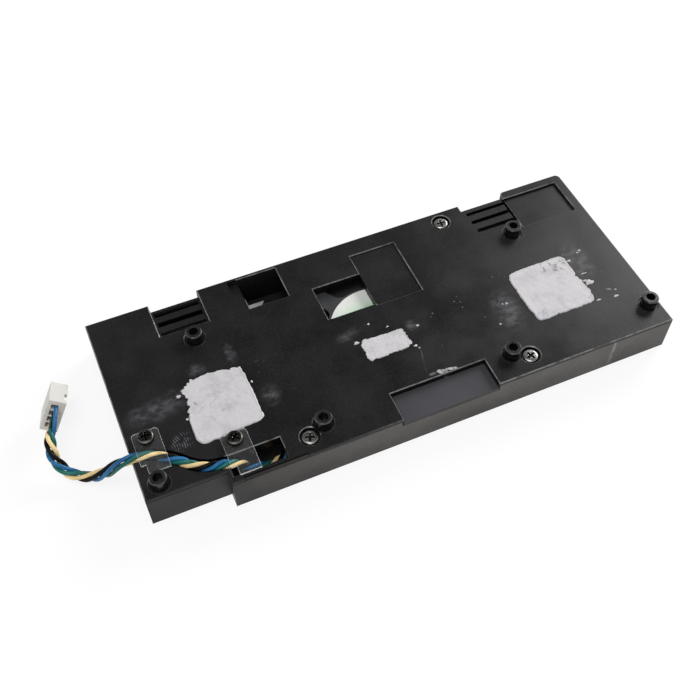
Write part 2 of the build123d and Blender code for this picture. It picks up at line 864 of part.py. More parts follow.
with BuildPart() as shaft_clip:
    clip_top = clip_bottom + clip_thickness
    add(tube(clip_radius, groove_radius, clip_bottom + clip_play, clip_top - clip_play))
    with BuildSketch(Plane.XY.offset(clip_bottom)):
        with Locations((fan_x, fan_y)):
            Rectangle(2 * clip_radius, clip_opening, align=(Align.MIN, Align.CENTER))
    extrude(amount=clip_thickness, mode=Mode.SUBTRACT)
shaft_clip.part.label = "shaft_clip"
export_step(shaft_clip.part, "parts/shaft_clip.step")

with BuildPart() as rotor_yoke:
    add(tube(yoke_radius, 0, hub_face, impeller_top))
    add(tube(magnet_radius, 0, yoke_face, impeller_top), mode=Mode.SUBTRACT)
    add(tube(shaft_radius, 0, hub_face, yoke_face), mode=Mode.SUBTRACT)
rotor_yoke.part.label = "rotor_yoke"
export_step(rotor_yoke.part, "parts/rotor_yoke.step")

with BuildPart() as magnet_ring:
    magnet_bottom = yoke_face + magnet_inset
    add(tube(magnet_radius, magnet_bore, magnet_bottom, impeller_top - magnet_end_gap))
magnet_ring.part.label = "magnet_ring"
export_step(magnet_ring.part, "parts/magnet_ring.step")

with BuildPart() as impeller:
    add(tube(hub_radius, 0, hub_bottom, impeller_top))
    add(tube(yoke_radius, 0, hub_face, impeller_top), mode=Mode.SUBTRACT)
    add(tube(shaft_radius, 0, hub_bottom + shaft_seat, impeller_top), mode=Mode.SUBTRACT)
    hub_rim = impeller.faces().sort_by(Axis.Z)[0].edges()
    fillet(hub_rim.sort_by(SortBy.LENGTH)[-1], radius=hub_round)
    # The back plate carries the blades, and a ring ties their ends near the intake
    backplate_under = impeller_top - backplate_thickness
    add(tube(impeller_radius - backplate_inset, yoke_radius, backplate_under, impeller_top))
    add(tube(impeller_radius, impeller_radius - ring_width, blade_bottom, blade_bottom + ring_height))
    # Each blade follows an arc that leans against the turn and is bowed at mid radius
    with BuildSketch(Plane.XY.offset(blade_bottom)):
        for number in range(blade_count):
            turn = 360.0 / blade_count * number
            with BuildLine(Plane(origin=(fan_x, fan_y, blade_bottom)).rotated((0, 0, turn))):
                ThreePointArc(
                    polar(blade_inner_radius, 0),
                    polar((blade_inner_radius + impeller_radius) / 2, blade_lean / 2 - blade_bow),
                    polar(impeller_radius - blade_tip_inset, blade_lean),
                )
            trace(line_width=blade_thickness)
    extrude(amount=backplate_under + backplate_thickness / 2 - blade_bottom)
impeller.part.label = "impeller"
export_step(impeller.part, "parts/impeller.step")


# Clear clips that hold the cable down, each with one screw
def cable_clip(low):
    """A thin rectangle with a notched corner, two rounded corners and a screw hole."""
    with BuildPart() as clip:
        with BuildSketch(Plane.XY.offset(clip_under)) as sheet:
            box_face(low, clip_size)
            top_corners = sheet.vertices().group_by(Axis.Y)[-1]
            fillet(top_corners, radius=clip_corner)
            with Locations(low):
                Rectangle(2 * clip_notch[0], 2 * clip_notch[1], mode=Mode.SUBTRACT)
            with Locations((low[0] + clip_screw_inset[0], low[1] + clip_size[1] - clip_screw_inset[1])):
                Circle(clip_hole_radius, mode=Mode.SUBTRACT)
        extrude(amount=clip_sheet)
    return clip.part


with BuildPart() as cable_clip_left:
    add(cable_clip(clips_low[0]))
cable_clip_left.part.label = "cable_clip_left"
export_step(cable_clip_left.part, "parts/cable_clip_left.step")

with BuildPart() as cable_clip_right:
    add(cable_clip(clips_low[1]))
cable_clip_right.part.label = "cable_clip_right"
export_step(cable_clip_right.part, "parts/cable_clip_right.step")


# Cable: four leads from the board, the run inside, and the free run to the connector
def round_tube(points, diameter):
    """A round tube along straight runs joined by tangent arcs."""
    with BuildPart() as run:
        with BuildLine() as path:
            FilletPolyline(*points, radius=arc_radii(points))
        line = path.wire()
        with BuildSketch(Plane(origin=line @ 0, z_dir=line % 0)):
            Circle(diameter / 2)
        sweep(path=line)
    return run.part


out = Vector(math.cos(math.radians(lead_angle)), math.sin(math.radians(lead_angle)), 0)
across = Vector(-out.Y, out.X, 0)
fan_centre = Vector(fan_x, fan_y, 0)
lead_level = board_under - lead_diameter / 2
gathered = 0.7 * lead_diameter
bunch = [(-1, 1), (-1, -1), (1, -1), (1, 1)]
with BuildPart() as fan_leads:
    for number, (side, lift) in enumerate(bunch):
        apart = across * (lead_pitch * (number - 1.5))
        near = fan_centre + out * lead_start + apart + Vector(0, 0, lead_level)
        turn = fan_centre + out * lead_bend + apart + Vector(0, 0, lead_level)
        end = Vector(*inner_route[0]) + across * (side * gathered) + Vector(0, 0, lift * gathered)
        close = end - out * lead_straight
        add(round_tube([tuple(point) for point in (near, turn, close, end)], lead_diameter))
fan_leads.part.label = "fan_leads"
export_step(fan_leads.part, "parts/fan_leads.step")

with BuildPart() as cable_inner:
    add(round_tube(inner_route, cable_diameter))
cable_inner.part.label = "cable_inner"
export_step(cable_inner.part, "parts/cable_inner.step")

with BuildPart() as cable:
    add(round_tube(cable_route, cable_diameter))
cable.part.label = "cable"
export_step(cable.part, "parts/cable.step")

# Connector: X runs across the circuits, Y towards the mating end
half_wide, half_deep, half_thick = [side / 2 for side in housing_size]
cavities_at = [((number - (circuits - 1) / 2) * circuit_pitch) for number in range(circuits)]
body_top = half_thick - housing_step
cavity_level = (body_top - half_thick) / 2
with BuildPart() as connector_housing:
    with BuildSketch(connector_plane.offset(-half_thick)):
        Rectangle(housing_size[0], housing_size[1])
    extrude(amount=housing_size[2] - housing_step)
    with BuildSketch(connector_plane.offset(-half_thick)):
        with Locations((0, -half_deep)):
            Rectangle(housing_size[0], wire_flange, align=(Align.CENTER, Align.MIN))
    extrude(amount=housing_size[2])
    with BuildSketch(connector_plane.offset(-half_thick)):
        for side in (-1, 1):
            with Locations((side * (half_wide - rib_width / 2), half_deep - rib_length / 2)):
                Rectangle(rib_width, rib_length)
    extrude(amount=housing_size[2])
    wire_face = Plane(
        origin=connector_plane.from_local_coords((0, -half_deep, cavity_level)),
        x_dir=connector_plane.x_dir,
        z_dir=connector_plane.y_dir * -1,
    )
    with BuildSketch(wire_face):
        with Locations(*[(x, 0) for x in cavities_at]):
            Rectangle(cavity_size[0], cavity_size[1])
    extrude(amount=-(housing_size[1] - cavity_end_wall), mode=Mode.SUBTRACT)
    with BuildSketch(wire_face):
        with Locations(*[(x, 0) for x in cavities_at]):
            Rectangle(pin_hole, pin_hole)
    extrude(amount=-housing_size[1], mode=Mode.SUBTRACT)
    with BuildSketch(connector_plane.offset(cavity_level)):
        with Locations(*[(x, latch_from_middle) for x in cavities_at]):
            Rectangle(*latch_window)
    extrude(amount=half_thick * 2, mode=Mode.SUBTRACT)
connector_housing.part.label = "connector_housing"
export_step(connector_housing.part, "parts/connector_housing.step")

with BuildPart() as connector_terminals:
    with BuildSketch(wire_face.offset(-terminal_inset)):
        with Locations(*[(x, 0) for x in cavities_at]):
            Rectangle(cavity_size[0] - 2 * terminal_gap, cavity_size[1] - 2 * terminal_gap)
            Rectangle(pin_hole - terminal_wall, pin_hole - terminal_wall, mode=Mode.SUBTRACT)
    extrude(amount=-terminal_length)
connector_terminals.part.label = "connector_terminals"
export_step(connector_terminals.part, "parts/connector_terminals.step")


# Thermal compound left where the chips touched the plate
def compound(middle, corners):
    """A thin patch on the plate, its corners given from its middle."""
    with BuildPart() as patch:
        with BuildSketch(Plane.XY.offset(plate_top)):
            with BuildLine():
                Polyline(*[(middle[0] + x, middle[1] + y) for x, y in corners], close=True)
            make_face()
        extrude(amount=compound_thickness)
    return patch.part


with BuildPart() as compound_left:
    add(compound((chips[0], chip_y), left_patch))
compound_left.part.label = "compound_left"
export_step(compound_left.part, "parts/compound_left.step")

with BuildPart() as compound_middle:
    add(compound((fan_x, fan_y), middle_patch))
compound_middle.part.label = "compound_middle"
export_step(compound_middle.part, "parts/compound_middle.step")

with BuildPart() as compound_right:
    add(compound((chips[1], chip_y), right_patch))
compound_right.part.label = "compound_right"
export_step(compound_right.part, "parts/compound_right.step")

for name, points in (("cable", cable_route), ("inner run", inner_route)):
    radii = [round(radius / cable_diameter, 1) for radius in arc_radii(points)]
    print(name, "arc radii in diameters:", radii)
print("cable length:", round(cable.part.volume / (math.pi * cable_diameter**2 / 4), 1))
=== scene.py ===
import math

import bmesh
import bpy
import numpy as np
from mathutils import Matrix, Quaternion, Vector


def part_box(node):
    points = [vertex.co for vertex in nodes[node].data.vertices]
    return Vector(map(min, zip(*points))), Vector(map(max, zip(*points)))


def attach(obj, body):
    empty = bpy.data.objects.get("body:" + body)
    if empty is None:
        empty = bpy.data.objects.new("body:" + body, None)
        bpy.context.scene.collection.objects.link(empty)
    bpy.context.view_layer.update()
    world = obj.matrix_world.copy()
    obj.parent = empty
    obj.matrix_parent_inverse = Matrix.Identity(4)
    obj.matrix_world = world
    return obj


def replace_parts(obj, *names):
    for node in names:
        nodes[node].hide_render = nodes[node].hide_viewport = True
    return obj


# A flat blower cooler taken off its card, lying on its intake side, board side up
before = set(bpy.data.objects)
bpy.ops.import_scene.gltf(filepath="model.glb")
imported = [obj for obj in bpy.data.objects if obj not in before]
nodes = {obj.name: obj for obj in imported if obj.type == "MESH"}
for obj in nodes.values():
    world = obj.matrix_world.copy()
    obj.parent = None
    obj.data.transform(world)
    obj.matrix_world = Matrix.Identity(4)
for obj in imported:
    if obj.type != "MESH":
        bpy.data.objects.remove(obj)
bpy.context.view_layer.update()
mm = 0.001
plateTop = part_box("compound_left")[0].z

# Camera at the photograph's angle; the roll is the photograph's small tilt
camera = {
    "place": (-0.07172, -0.14248, 0.21934),
    "direction": (0.23655, 0.53640, -0.81013),
    "rollDegrees": 0.339,
    "lens": 49.41,
    "sensor": 36.0,
    "nearest": 0.005,
    "farthest": 20.0,
}


def makeCamera():
    data = bpy.data.cameras.new("camera")
    data.lens = camera["lens"]
    data.sensor_width = camera["sensor"]
    data.clip_start = camera["nearest"]
    data.clip_end = camera["farthest"]
    eye = bpy.data.objects.new("camera", data)
    bpy.context.scene.collection.objects.link(eye)
    eye.location = camera["place"]
    eye.rotation_mode = "QUATERNION"
    roll = Quaternion((0, 0, 1), math.radians(camera["rollDegrees"]))
    eye.rotation_quaternion = Vector(camera["direction"]).to_track_quat("-Z", "Y") @ roll
    bpy.context.scene.camera = eye


makeCamera()
print("camera set")


# Rings of points, an array of ring by place by xyz, closed into a skin with a pole at each end
def closedSkin(rings):
    count, around = rings.shape[:2]
    ring, spot = np.meshgrid(np.arange(count - 1), np.arange(around), indexing="ij")
    here = ring * around
    after = (spot + 1) % around
    quads = np.stack([here + spot, here + after, here + around + after, here + around + spot], -1)
    places = np.concatenate([rings.reshape(-1, 3), rings[:1].mean(1), rings[-1:].mean(1)])
    spin = np.arange(around)
    following = (spin + 1) % around
    first = np.stack([np.full(around, count * around), following, spin], -1)
    last = (count - 1) * around
    final = np.stack([np.full(around, count * around + 1), last + spin, last + following], -1)
    return places, quads.reshape(-1, 4).tolist() + first.tolist() + final.tolist()


# Several skins joined into one piece that rides on a body; sharp is the angle of a kept edge
def makePiece(name, skins, materials, body="root", sharp=35.0):
    places, faces, kinds, start = [], [], [], 0
    for skin in skins:
        places.append(skin[0])
        faces += [[corner + start for corner in face] for face in skin[1]]
        kinds += [skin[2] if len(skin) > 2 else 0] * len(skin[1])
        start += len(skin[0])
    mesh = bpy.data.meshes.new(name)
    mesh.from_pydata(np.concatenate(places).tolist(), [], faces)
    for material in materials:
        mesh.materials.append(material)
    mesh.polygons.foreach_set("material_index", kinds)
    edit = bmesh.new()
    edit.from_mesh(mesh)
    bmesh.ops.recalc_face_normals(edit, faces=edit.faces)
    edit.to_mesh(mesh)
    edit.free()
    mesh.shade_smooth()
    mesh.set_sharp_from_angle(angle=math.radians(sharp))
    piece = bpy.data.objects.new(name, mesh)
    bpy.context.scene.collection.objects.link(piece)
    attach(piece, body)
    return piece


# A smooth random surface: sine waves of random direction, length and phase, added up and divided
# by the root of their number
def ripple(x, y, shortest, longest, waves, random):
    angle = random.uniform(0, 2 * np.pi, waves)
    scale = 2 * np.pi / np.exp(random.uniform(np.log(shortest), np.log(longest), waves))
    phase = random.uniform(0, 2 * np.pi, waves)
    along = x[..., None] * np.cos(angle) + y[..., None] * np.sin(angle)
    return np.sin(along * scale + phase).sum(-1) / np.sqrt(waves)


# A share that rises from 0 at low to 1 at high as 3 s squared less 2 s cubed
def smoothStep(value, low, high):
    share = np.clip((value - low) / (high - low), 0, 1)
    return share * share * (3 - 2 * share)


# A colour times a factor, with a lift added and an alpha of one
def shaded(colour, factor, lift=0.0):
    return tuple(min(1.0, part * factor + lift) for part in colour) + (1,)


# Most of a noise's values lie between these two
usualNoise = (0.3, 0.7)
# How much a face looks up: where it counts as level, and where it counts as a wall
levelFace = (0.85, 0.95)
wallFace = (0.35, 0.15)
# A level under the whole part, in millimetres
farBelow = -50.0


# A material under construction: short ways to add its nodes and join them
class Finish:
    def __init__(self, name, **shader):
        self.material = bpy.data.materials.new(name)
        self.material.use_nodes = True
        self.nodes = self.material.node_tree.nodes
        self.links = self.material.node_tree.links
        self.shader = self.nodes["Principled BSDF"]
        self.place = self.add("ShaderNodeTexCoord").outputs["Object"]
        for key, value in shader.items():
            self.put(self.shader.inputs[key.replace("_", " ")], value)

    def put(self, socket, value):
        if isinstance(value, bpy.types.NodeSocket):
            self.links.new(value, socket)
        else:
            socket.default_value = value

    def add(self, kind, inputs=None, **settings):
        made = self.nodes.new(kind)
        for key, value in settings.items():
            setattr(made, key, value)
        for key, value in (inputs or {}).items():
            self.put(made.inputs[key], value)
        return made

    def noise(self, scale, detail=4.0, roughness=0.55, stretch=None):
        vector = self.place
        if stretch:
            vector = self.add("ShaderNodeMapping", {"Vector": vector, "Scale": stretch}).outputs[0]
        inputs = {"Vector": vector, "Scale": scale, "Detail": detail, "Roughness": roughness}
        return self.add("ShaderNodeTexNoise", inputs).outputs[0]

    # Noise whose usual range is stretched to run from low to high
    def mottle(self, scale, detail, low=0.0, high=1.0, roughness=0.55):
        return self.ramp(self.noise(scale, detail, roughness), *usualNoise, low, high)

    def cells(self, scale):
        return self.add("ShaderNodeTexVoronoi", {"Vector": self.place, "Scale": scale}).outputs["Distance"]

    # A smooth step of value from low to high, turned into lowTo to highTo
    def ramp(self, value, low, high, lowTo=0.0, highTo=1.0):
        inputs = {"Value": value, "From Min": low, "From Max": high, "To Min": lowTo, "To Max": highTo}
        return self.add("ShaderNodeMapRange", inputs, interpolation_type="SMOOTHSTEP").outputs[0]

    def maths(self, operation, first, second=0.0):
        return self.add("ShaderNodeMath", {0: first, 1: second}, operation=operation).outputs[0]

    def times(self, *values):
        result = values[0]
        for value in values[1:]:
            result = self.maths("MULTIPLY", result, value)
        return result

    def largest(self, *values):
        result = values[0]
        for value in values[1:]:
            result = self.maths("MAXIMUM", result, value)
        return result

    def mix(self, share, first, second):
        made = self.add("ShaderNodeMix", {0: share, 6: first, 7: second}, data_type="RGBA")
        return made.outputs[2]

    def colour(self, value):
        self.put(self.shader.inputs["Base Color"], value)

    def rough(self, value):
        self.put(self.shader.inputs["Roughness"], value)

    def coordinate(self, axis):
        return self.add("ShaderNodeSeparateXYZ", {0: self.place}).outputs[axis]

    # An ellipse seen from above, in millimetres: one inside, zero outside, with a soft edge
    def spot(self, centre, size, turn=0.0, soft=0.7):
        inputs = {
            "Vector": self.place,
            "Location": (centre[0] * mm, centre[1] * mm, 0),
            "Rotation": (0, 0, math.radians(turn)),
            "Scale": (size[0] * mm, size[1] * mm, 1.0),
        }
        local = self.add("ShaderNodeMapping", inputs, vector_type="TEXTURE").outputs[0]
        away = self.add("ShaderNodeVectorMath", {0: local}, operation="LENGTH").outputs["Value"]
        return self.ramp(away, 1.0, 1.0 - soft)

    def spots(self, places):
        return self.largest(*[self.spot(*place) for place in places])

    # Marks laid over a colour, each a spot, its own colour and how much of it, thinned by masks
    def marked(self, colour, marks, *masks):
        for where, shade, amount in marks:
            colour = self.mix(self.times(self.spot(*where), *masks, amount), colour, shade)
        return colour

    # One where a coordinate, 0 for x, 1 for y, 2 for z, lies between two values in millimetres
    def within(self, axis, low, high, soft=0.2):
        value = self.coordinate(axis)
        above = self.ramp(value, (low - soft) * mm, low * mm)
        below = self.ramp(value, (high + soft) * mm, high * mm)
        return self.times(above, below)

    # Rings round a point, in millimetres, broken up by noise, as the ridges of a finger leave
    def ridges(self, centre, spacing, where):
        inputs = {"Vector": self.place, "Location": (centre[0] * mm, centre[1] * mm, 0)}
        local = self.add("ShaderNodeMapping", inputs, vector_type="TEXTURE").outputs[0]
        flat = self.add("ShaderNodeVectorMath", {0: local, 1: (1, 1, 0)}, operation="MULTIPLY").outputs[0]
        away = self.add("ShaderNodeVectorMath", {0: flat}, operation="LENGTH").outputs["Value"]
        wave = self.maths("SINE", self.times(away, 2 * math.pi / (spacing * mm)))
        broken = self.ramp(self.noise(1100.0, 3.0), 0.4, 0.55)
        return self.times(self.ramp(wave, 0.0, 0.6), broken, self.spot(*where))

    # How much a face looks up, whichever way round it is
    def upness(self):
        normal = self.add("ShaderNodeNewGeometry").outputs["True Normal"]
        up = self.add("ShaderNodeSeparateXYZ", {0: normal}).outputs["Z"]
        return self.maths("ABSOLUTE", up)

    # One on faces that lean half way, as a bevel does
    def bevel(self):
        up = self.upness()
        return self.times(self.ramp(up, 0.35, 0.55), self.ramp(up, 0.95, 0.85))

    # A bevel rubbed in patches: worn paint with a painted highlight
    def rubbedRimAndHighlight(self, scale):
        return self.times(self.bevel(), self.ramp(self.noise(scale, 3.0), 0.35, 0.6))

    def bump(self, height, distance, strength=1.0):
        inputs = {"Height": height, "Distance": distance, "Strength": strength}
        self.put(self.shader.inputs["Normal"], self.add("ShaderNodeBump", inputs).outputs[0])


# A row of numbers with its kinks eased: the mean of each one and its neighbours, ends kept straight
def evened(values, reach):
    ahead = np.arange(1, reach + 1)
    before = values[0] + (values[0] - values[1]) * ahead[::-1]
    after = values[-1] + (values[-1] - values[-2]) * ahead
    padded = np.concatenate([before, values, after])
    return np.convolve(padded, np.ones(2 * reach + 1) / (2 * reach + 1), "valid")


# The free cable and the run inside the housing, in metres; the routes are those of the solids
cable = {
    "diameter": 0.0027,
    "wireRadius": 0.00054,
    "around": 14,
    "spacing": 0.0004,
    "lineSteps": 24,
    "route": [
        (-0.0479, -0.0253, 0.00855),
        (-0.052, -0.0245, 0.01145),
        (-0.057, -0.0237, 0.01145),
        (-0.0604, -0.0218, 0.01145),
        (-0.0632, -0.0189, 0.01145),
        (-0.0665, -0.0162, 0.01145),
        (-0.071, -0.01405, 0.0116),
        (-0.0759, -0.0136, 0.011),
        (-0.0794, -0.0126, 0.0079),
        (-0.0826, -0.0109, 0.0042),
        (-0.0862, -0.0087, 0.0026),
        (-0.0896, -0.00645, 0.0033),
        (-0.09165, -0.0036, 0.00535),
        (-0.0919, -0.0002, 0.00765),
        (-0.09065, 0.0034, 0.00885),
        (-0.08935, 0.00654, 0.00849),
        (-0.088888, 0.008669, 0.007754),
    ],
    "innerRoute": [
        (-0.0162, -0.0191, 0.0073),
        (-0.0183, -0.02165, 0.0073),
        (-0.0223, -0.0226, 0.0068),
        (-0.028, -0.0215, 0.0058),
        (-0.0342, -0.0219, 0.0046),
        (-0.0392, -0.025, 0.0039),
        (-0.04386, -0.02609, 0.00569),
        (-0.0479, -0.0253, 0.00855),
    ],
    # share of the cable's length against whole turns of the twist: looser in the free loop
    "turnsAt": [
        (0.0, 0.0), (0.05, 0.36), (0.12, 0.83), (0.2, 1.3), (0.28, 1.82), (0.376, 2.34), (0.42, 2.58),
        (0.54, 2.88), (0.62, 3.1), (0.7, 3.44), (0.8, 3.86), (0.9, 4.32), (1.0, 4.73),
    ],
    "turnsEased": 7,
    # length of one turn of the twist inside
    "innerLay": 0.0105,
    # the helix's radius in wire radii, and the shares of the length between which it comes loose
    "helixReach": 1.45,
    "looseFrom": 0.4,
    "looseFull": 0.55,
    # how far a loose wire stands out: in all, the steady part and the wandering part
    "looseness": 0.34,
    "swell": (0.75, 0.55),
    # waves that a loose wire wanders in: length, step from wire to wire, and depth
    "wander": [(0.017, 1.9, 1.0), (0.0093, 4.1, 0.6)],
    # the straight row at the connector: pitch, direction, each wire's place, and how far from the
    # cable's end it starts to form and is full
    "rowPitch": 0.002,
    "rowDirection": (-0.512, -0.18, -0.84),
    "rowOrder": [1.5, -0.5, -1.5, 0.5],
    "rowFrom": 0.0085,
    "rowFull": 0.0005,
    # each cover's name, colour and gloss
    "covers": [
        ("yellow", (0.74, 0.56, 0.27), 0.25),
        ("black", (0.002, 0.0015, 0.002), 0.09),
        ("blue", (0.008, 0.105, 0.25), 0.25),
        ("green", (0.004, 0.11, 0.095), 0.25),
    ],
    "dust": (0.5, 0.48, 0.45, 1),
    "dustShare": 0.02,
    "roughness": (0.28, 0.42),
}


# The route's smooth line: a quadratic NURBS with the route as its control points, evenly spaced
def centreline(name, route):
    curve = bpy.data.curves.new(name, "CURVE")
    curve.dimensions = "3D"
    spline = curve.splines.new("NURBS")
    spline.points.add(len(route) - 1)
    for point, place in zip(spline.points, route):
        point.co = (*place, 1)
    spline.order_u = 3
    spline.use_endpoint_u = True
    spline.resolution_u = cable["lineSteps"]
    line = bpy.data.objects.new(name, curve)
    mesh = bpy.data.meshes.new_from_object(line)
    points = np.empty(len(mesh.vertices) * 3)
    mesh.vertices.foreach_get("co", points)
    points = points.reshape(-1, 3)
    bpy.data.objects.remove(line)
    bpy.data.meshes.remove(mesh)
    bpy.data.curves.remove(curve)
    steps = np.linalg.norm(np.diff(points, axis=0), axis=1)
    run = np.concatenate([[0], np.cumsum(steps)])
    even = np.linspace(0, run[-1], int(run[-1] / cable["spacing"]) + 1)
    return even, np.stack([np.interp(even, run, points[:, axis]) for axis in range(3)], -1)


# A level side vector and the one square to it and to the line, at each point of a line
def sideAndTop(points):
    along = np.gradient(points, axis=0)
    along /= np.linalg.norm(along, axis=1, keepdims=True)
    side = np.cross(along, (0, 0, 1))
    side /= np.linalg.norm(side, axis=1, keepdims=True)
    return side, np.cross(side, along)


# A round wire: circles of one radius carried square to the line
def wireSkin(points):
    side, top = sideAndTop(points)
    turn = np.linspace(0, 2 * np.pi, cable["around"], endpoint=False)[None, :, None]
    circle = np.cos(turn) * side[:, None] + np.sin(turn) * top[:, None]
    return closedSkin(points[:, None] + cable["wireRadius"] * circle)


# Four wires twisted round a line: helices whose radius swells where the twist is loose,
# and which leave the helix for a straight row at the connector
def twistedWires(run, points, turns, loose, rowShare):
    side, top = sideAndTop(points)
    row = np.array(cable["rowDirection"])
    tight = cable["wireRadius"] * cable["helixReach"]
    steady, wandering = cable["swell"]
    wires = []
    for number, place in enumerate(cable["rowOrder"]):
        angle = 2 * np.pi * (turns + number / len(cable["rowOrder"]))
        wander = sum(depth * np.sin(run * 2 * np.pi / length + number * step)
                     for length, step, depth in cable["wander"])
        reach = tight * (1 + loose * cable["looseness"] * (steady + wandering * wander))
        helix = reach[:, None] * (np.cos(angle)[:, None] * side + np.sin(angle)[:, None] * top)
        inRow = row * place * cable["rowPitch"]
        wires.append(points + helix * (1 - rowShare[:, None]) + inRow * rowShare[:, None])
    return wires


def wireFinish(name, colour, gloss):
    # PVC cover: a soft gloss, a colour that drifts a little, and a trace of dust
    cover = Finish(name + "Wire", Specular_IOR_Level=gloss)
    shade = cover.mottle(240.0, 3.0)
    dust = cover.ramp(cover.noise(900.0, 5.0, 0.7), 0.58, 0.75, 0.0, cable["dustShare"])
    clean = cover.mix(shade, shaded(colour, 0.82), shaded(colour, 1.12, 0.002))
    cover.colour(cover.mix(dust, clean, cable["dust"]))
    cover.rough(cover.mottle(700.0, 3.0, *cable["roughness"]))
    cover.bump(cover.noise(2200.0, 2.0), 0.00002, 0.4)
    return cover.material


def makeBundle(name, wires, finishes):
    skins = [(*wireSkin(wire), kind) for kind, wire in enumerate(wires)]
    return makePiece(name, skins, finishes)


def makeCable():
    run, points = centreline("cableLine", cable["route"])
    length = run[-1]
    shares, turns = zip(*cable["turnsAt"])
    turned = evened(np.interp(run / length, shares, turns), cable["turnsEased"])
    loose = smoothStep(run / length, cable["looseFrom"], cable["looseFull"])
    rowShare = smoothStep(run, length - cable["rowFrom"], length - cable["rowFull"])
    finishes = [wireFinish(*cover) for cover in cable["covers"]]
    twist = makeBundle("cableTwist", twistedWires(run, points, turned, loose, rowShare), finishes)
    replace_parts(twist, "cable")
    innerRun, innerPoints = centreline("innerLine", cable["innerRoute"])
    innerTurned = turned[0] + (innerRun - innerRun[-1]) / cable["innerLay"]
    still = np.zeros_like(innerRun)
    wires = twistedWires(innerRun, innerPoints, innerTurned, still, still)
    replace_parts(makeBundle("innerTwist", wires, finishes), "cable_inner")
    print("cable length", round(float(length) / mm, 1), "mm")


makeCable()

# Spots here are a centre, two radii, a turn in degrees and the soft share of the edge
plateLook = {
    "dark": (0.003, 0.003, 0.0034, 1),
    "light": (0.0062, 0.0061, 0.0066, 1),
    "cloudScale": 28.0,
    "grainScale": 2600.0,
    "grainHeight": 0.00004,
    "grainAmount": 0.4,
    "grainColour": (0.022, 0.021, 0.0225, 1),
    # a spot, its colour and how much of it: stains, and two broad lighter spots on the right that are
    # painted sheen
    "stainsAndSheen": [
        (((-78.0, 0.0), (40.0, 60.0), 0.0, 0.6), (0.0085, 0.0085, 0.0092, 1), 0.6),
        (((-6.0, -17.5), (13.0, 7.0), 0.0, 0.6), (0.002, 0.0022, 0.0021, 1), 0.7),
        (((12.0, -14.5), (9.0, 6.5), 0.0, 0.4), (0.0125, 0.0108, 0.0104, 1), 0.6),
        (((28.5, -15.0), (7.0, 6.0), 0.0, 0.8), (0.022, 0.021, 0.0215, 1), 0.7),
        # painted sheen: two broad lighter spots on the right, standing in for the glossy highlight there
        (((38.0, 0.0), (30.0, 40.0), 0.0, 0.7), (0.009, 0.009, 0.0092, 1), 0.7),
        (((62.0, -6.0), (32.0, 36.0), 0.0, 0.7), (0.021, 0.02, 0.02, 1), 0.7),
        (((21.5, -6.0), (10.5, 11.0), 20.0, 0.5), (0.001, 0.001, 0.001, 1), 0.85),
    ],
    "hazeScale": 640.0,
    "hazeStretch": (0.6, 1.0, 1.0),
    "hazeAmount": 0.62,
    "hazeRough": 0.25,
    "hazeColour": (0.1, 0.092, 0.104, 1),
    "hazes": [
        ((-63.5, -3.2), (11.5, 4.6), 5.0, 1.0),
        ((-58.6, -1.8), (4.2, 4.4), 0.0, 0.9),
        ((-69.0, -2.6), (3.4, 3.0), 0.0, 1.0),
        ((-50.9, 4.6), (3.2, 3.2), 0.0, 1.0),
        ((-40.8, 6.2), (2.0, 4.2), 0.0),
        ((-35.6, -10.0), (3.4, 4.8), 0.0, 1.0),
        ((7.6, -4.6), (2.6, 2.8), 20.0, 0.9),
        ((-9.5, -0.5), (5.0, 2.4), 10.0, 1.0),
        ((34.0, -10.0), (5.0, 9.0), 0.0),
        ((61.0, -2.0), (5.0, 9.0), 0.0),
    ],
    "lintScale": 620.0,
    "lintReach": 0.14,
    "lintClumps": 150.0,
    "lintColour": (0.42, 0.42, 0.41, 1),
    "lints": [
        ((14.0, -4.0), (16.0, 14.0), 0.0),
        ((32.0, -6.0), (12.0, 18.0), 0.0),
        ((62.0, -2.0), (8.0, 14.0), 0.0),
        ((-36.0, -8.0), (8.0, 12.0), 0.0),
    ],
    "scrapeScale": 900.0,
    "scrapeStretch": (1.0, 0.3, 1.0),
    # thin leavings behind the tray, the edge of a film that was there, and a mark at the right
    "scrapes": [
        (((8.3, -21.25), (1.8, 0.85), -25.0, 0.35), (0.36, 0.36, 0.37, 1), 1.0),
        (((10.8, -21.3), (2.2, 0.5), -12.0, 0.4), (0.36, 0.36, 0.37, 1), 1.0),
        (((5.6, -20.9), (1.6, 0.6), 5.0, 0.8), (0.15, 0.15, 0.15, 1), 0.8),
        (((5.3, -16.0), (0.22, 5.2), -14.2, 0.8), (0.09, 0.09, 0.085, 1), 0.7),
        (((63.5, -14.6), (1.3, 0.5), -30.0, 0.8), (0.25, 0.25, 0.25, 1), 0.7),
    ],
    # centre of the ridges, their spacing and the spot they show in
    "fingers": [((-68.0, -15.5), 0.62, ((-60.8, -14.6), (3.8, 3.2), 20.0, 0.5))],
    "fingerAmount": 0.9,
    # recess floors painted lighter, painted light where the walls round them shade them: low and high
    # corner seen from above, the level it lies under, and its colour
    "paintedLightFloors": [(((-7.1, -31.0), (20.1, -22.3)), 11.0, (0.046, 0.046, 0.052, 1))],
    # vertical faces painted dark as painted shade: how much, and the colour, which also darkens the rims in
    # front
    "wallShadeShare": 0.9,
    "wallShadeColour": (0.002, 0.002, 0.0022, 1),
    # how much darker it gets downwards, and the two heights in metres between which it does
    "fade": 0.0,
    "fadeHeights": (0.0095, 0.001),
    # the rim's worn paint with a painted highlight, and the stretch by the front where the rim is painted
    # dark as painted shade: low, high and soft edge
    "edgeScale": 300.0,
    "edgeWearAndHighlight": 0.82,
    "edgeWearAndHighlightColour": (0.26, 0.26, 0.26, 1),
    "frontRimShade": 0.9,
    "frontAlong": (-90.0, -25.0, 45.0),
    "frontAcross": (-40.0, -26.4, 0.3),
    "roughness": (0.3, 0.42),
    "gloss": 0.24,
}
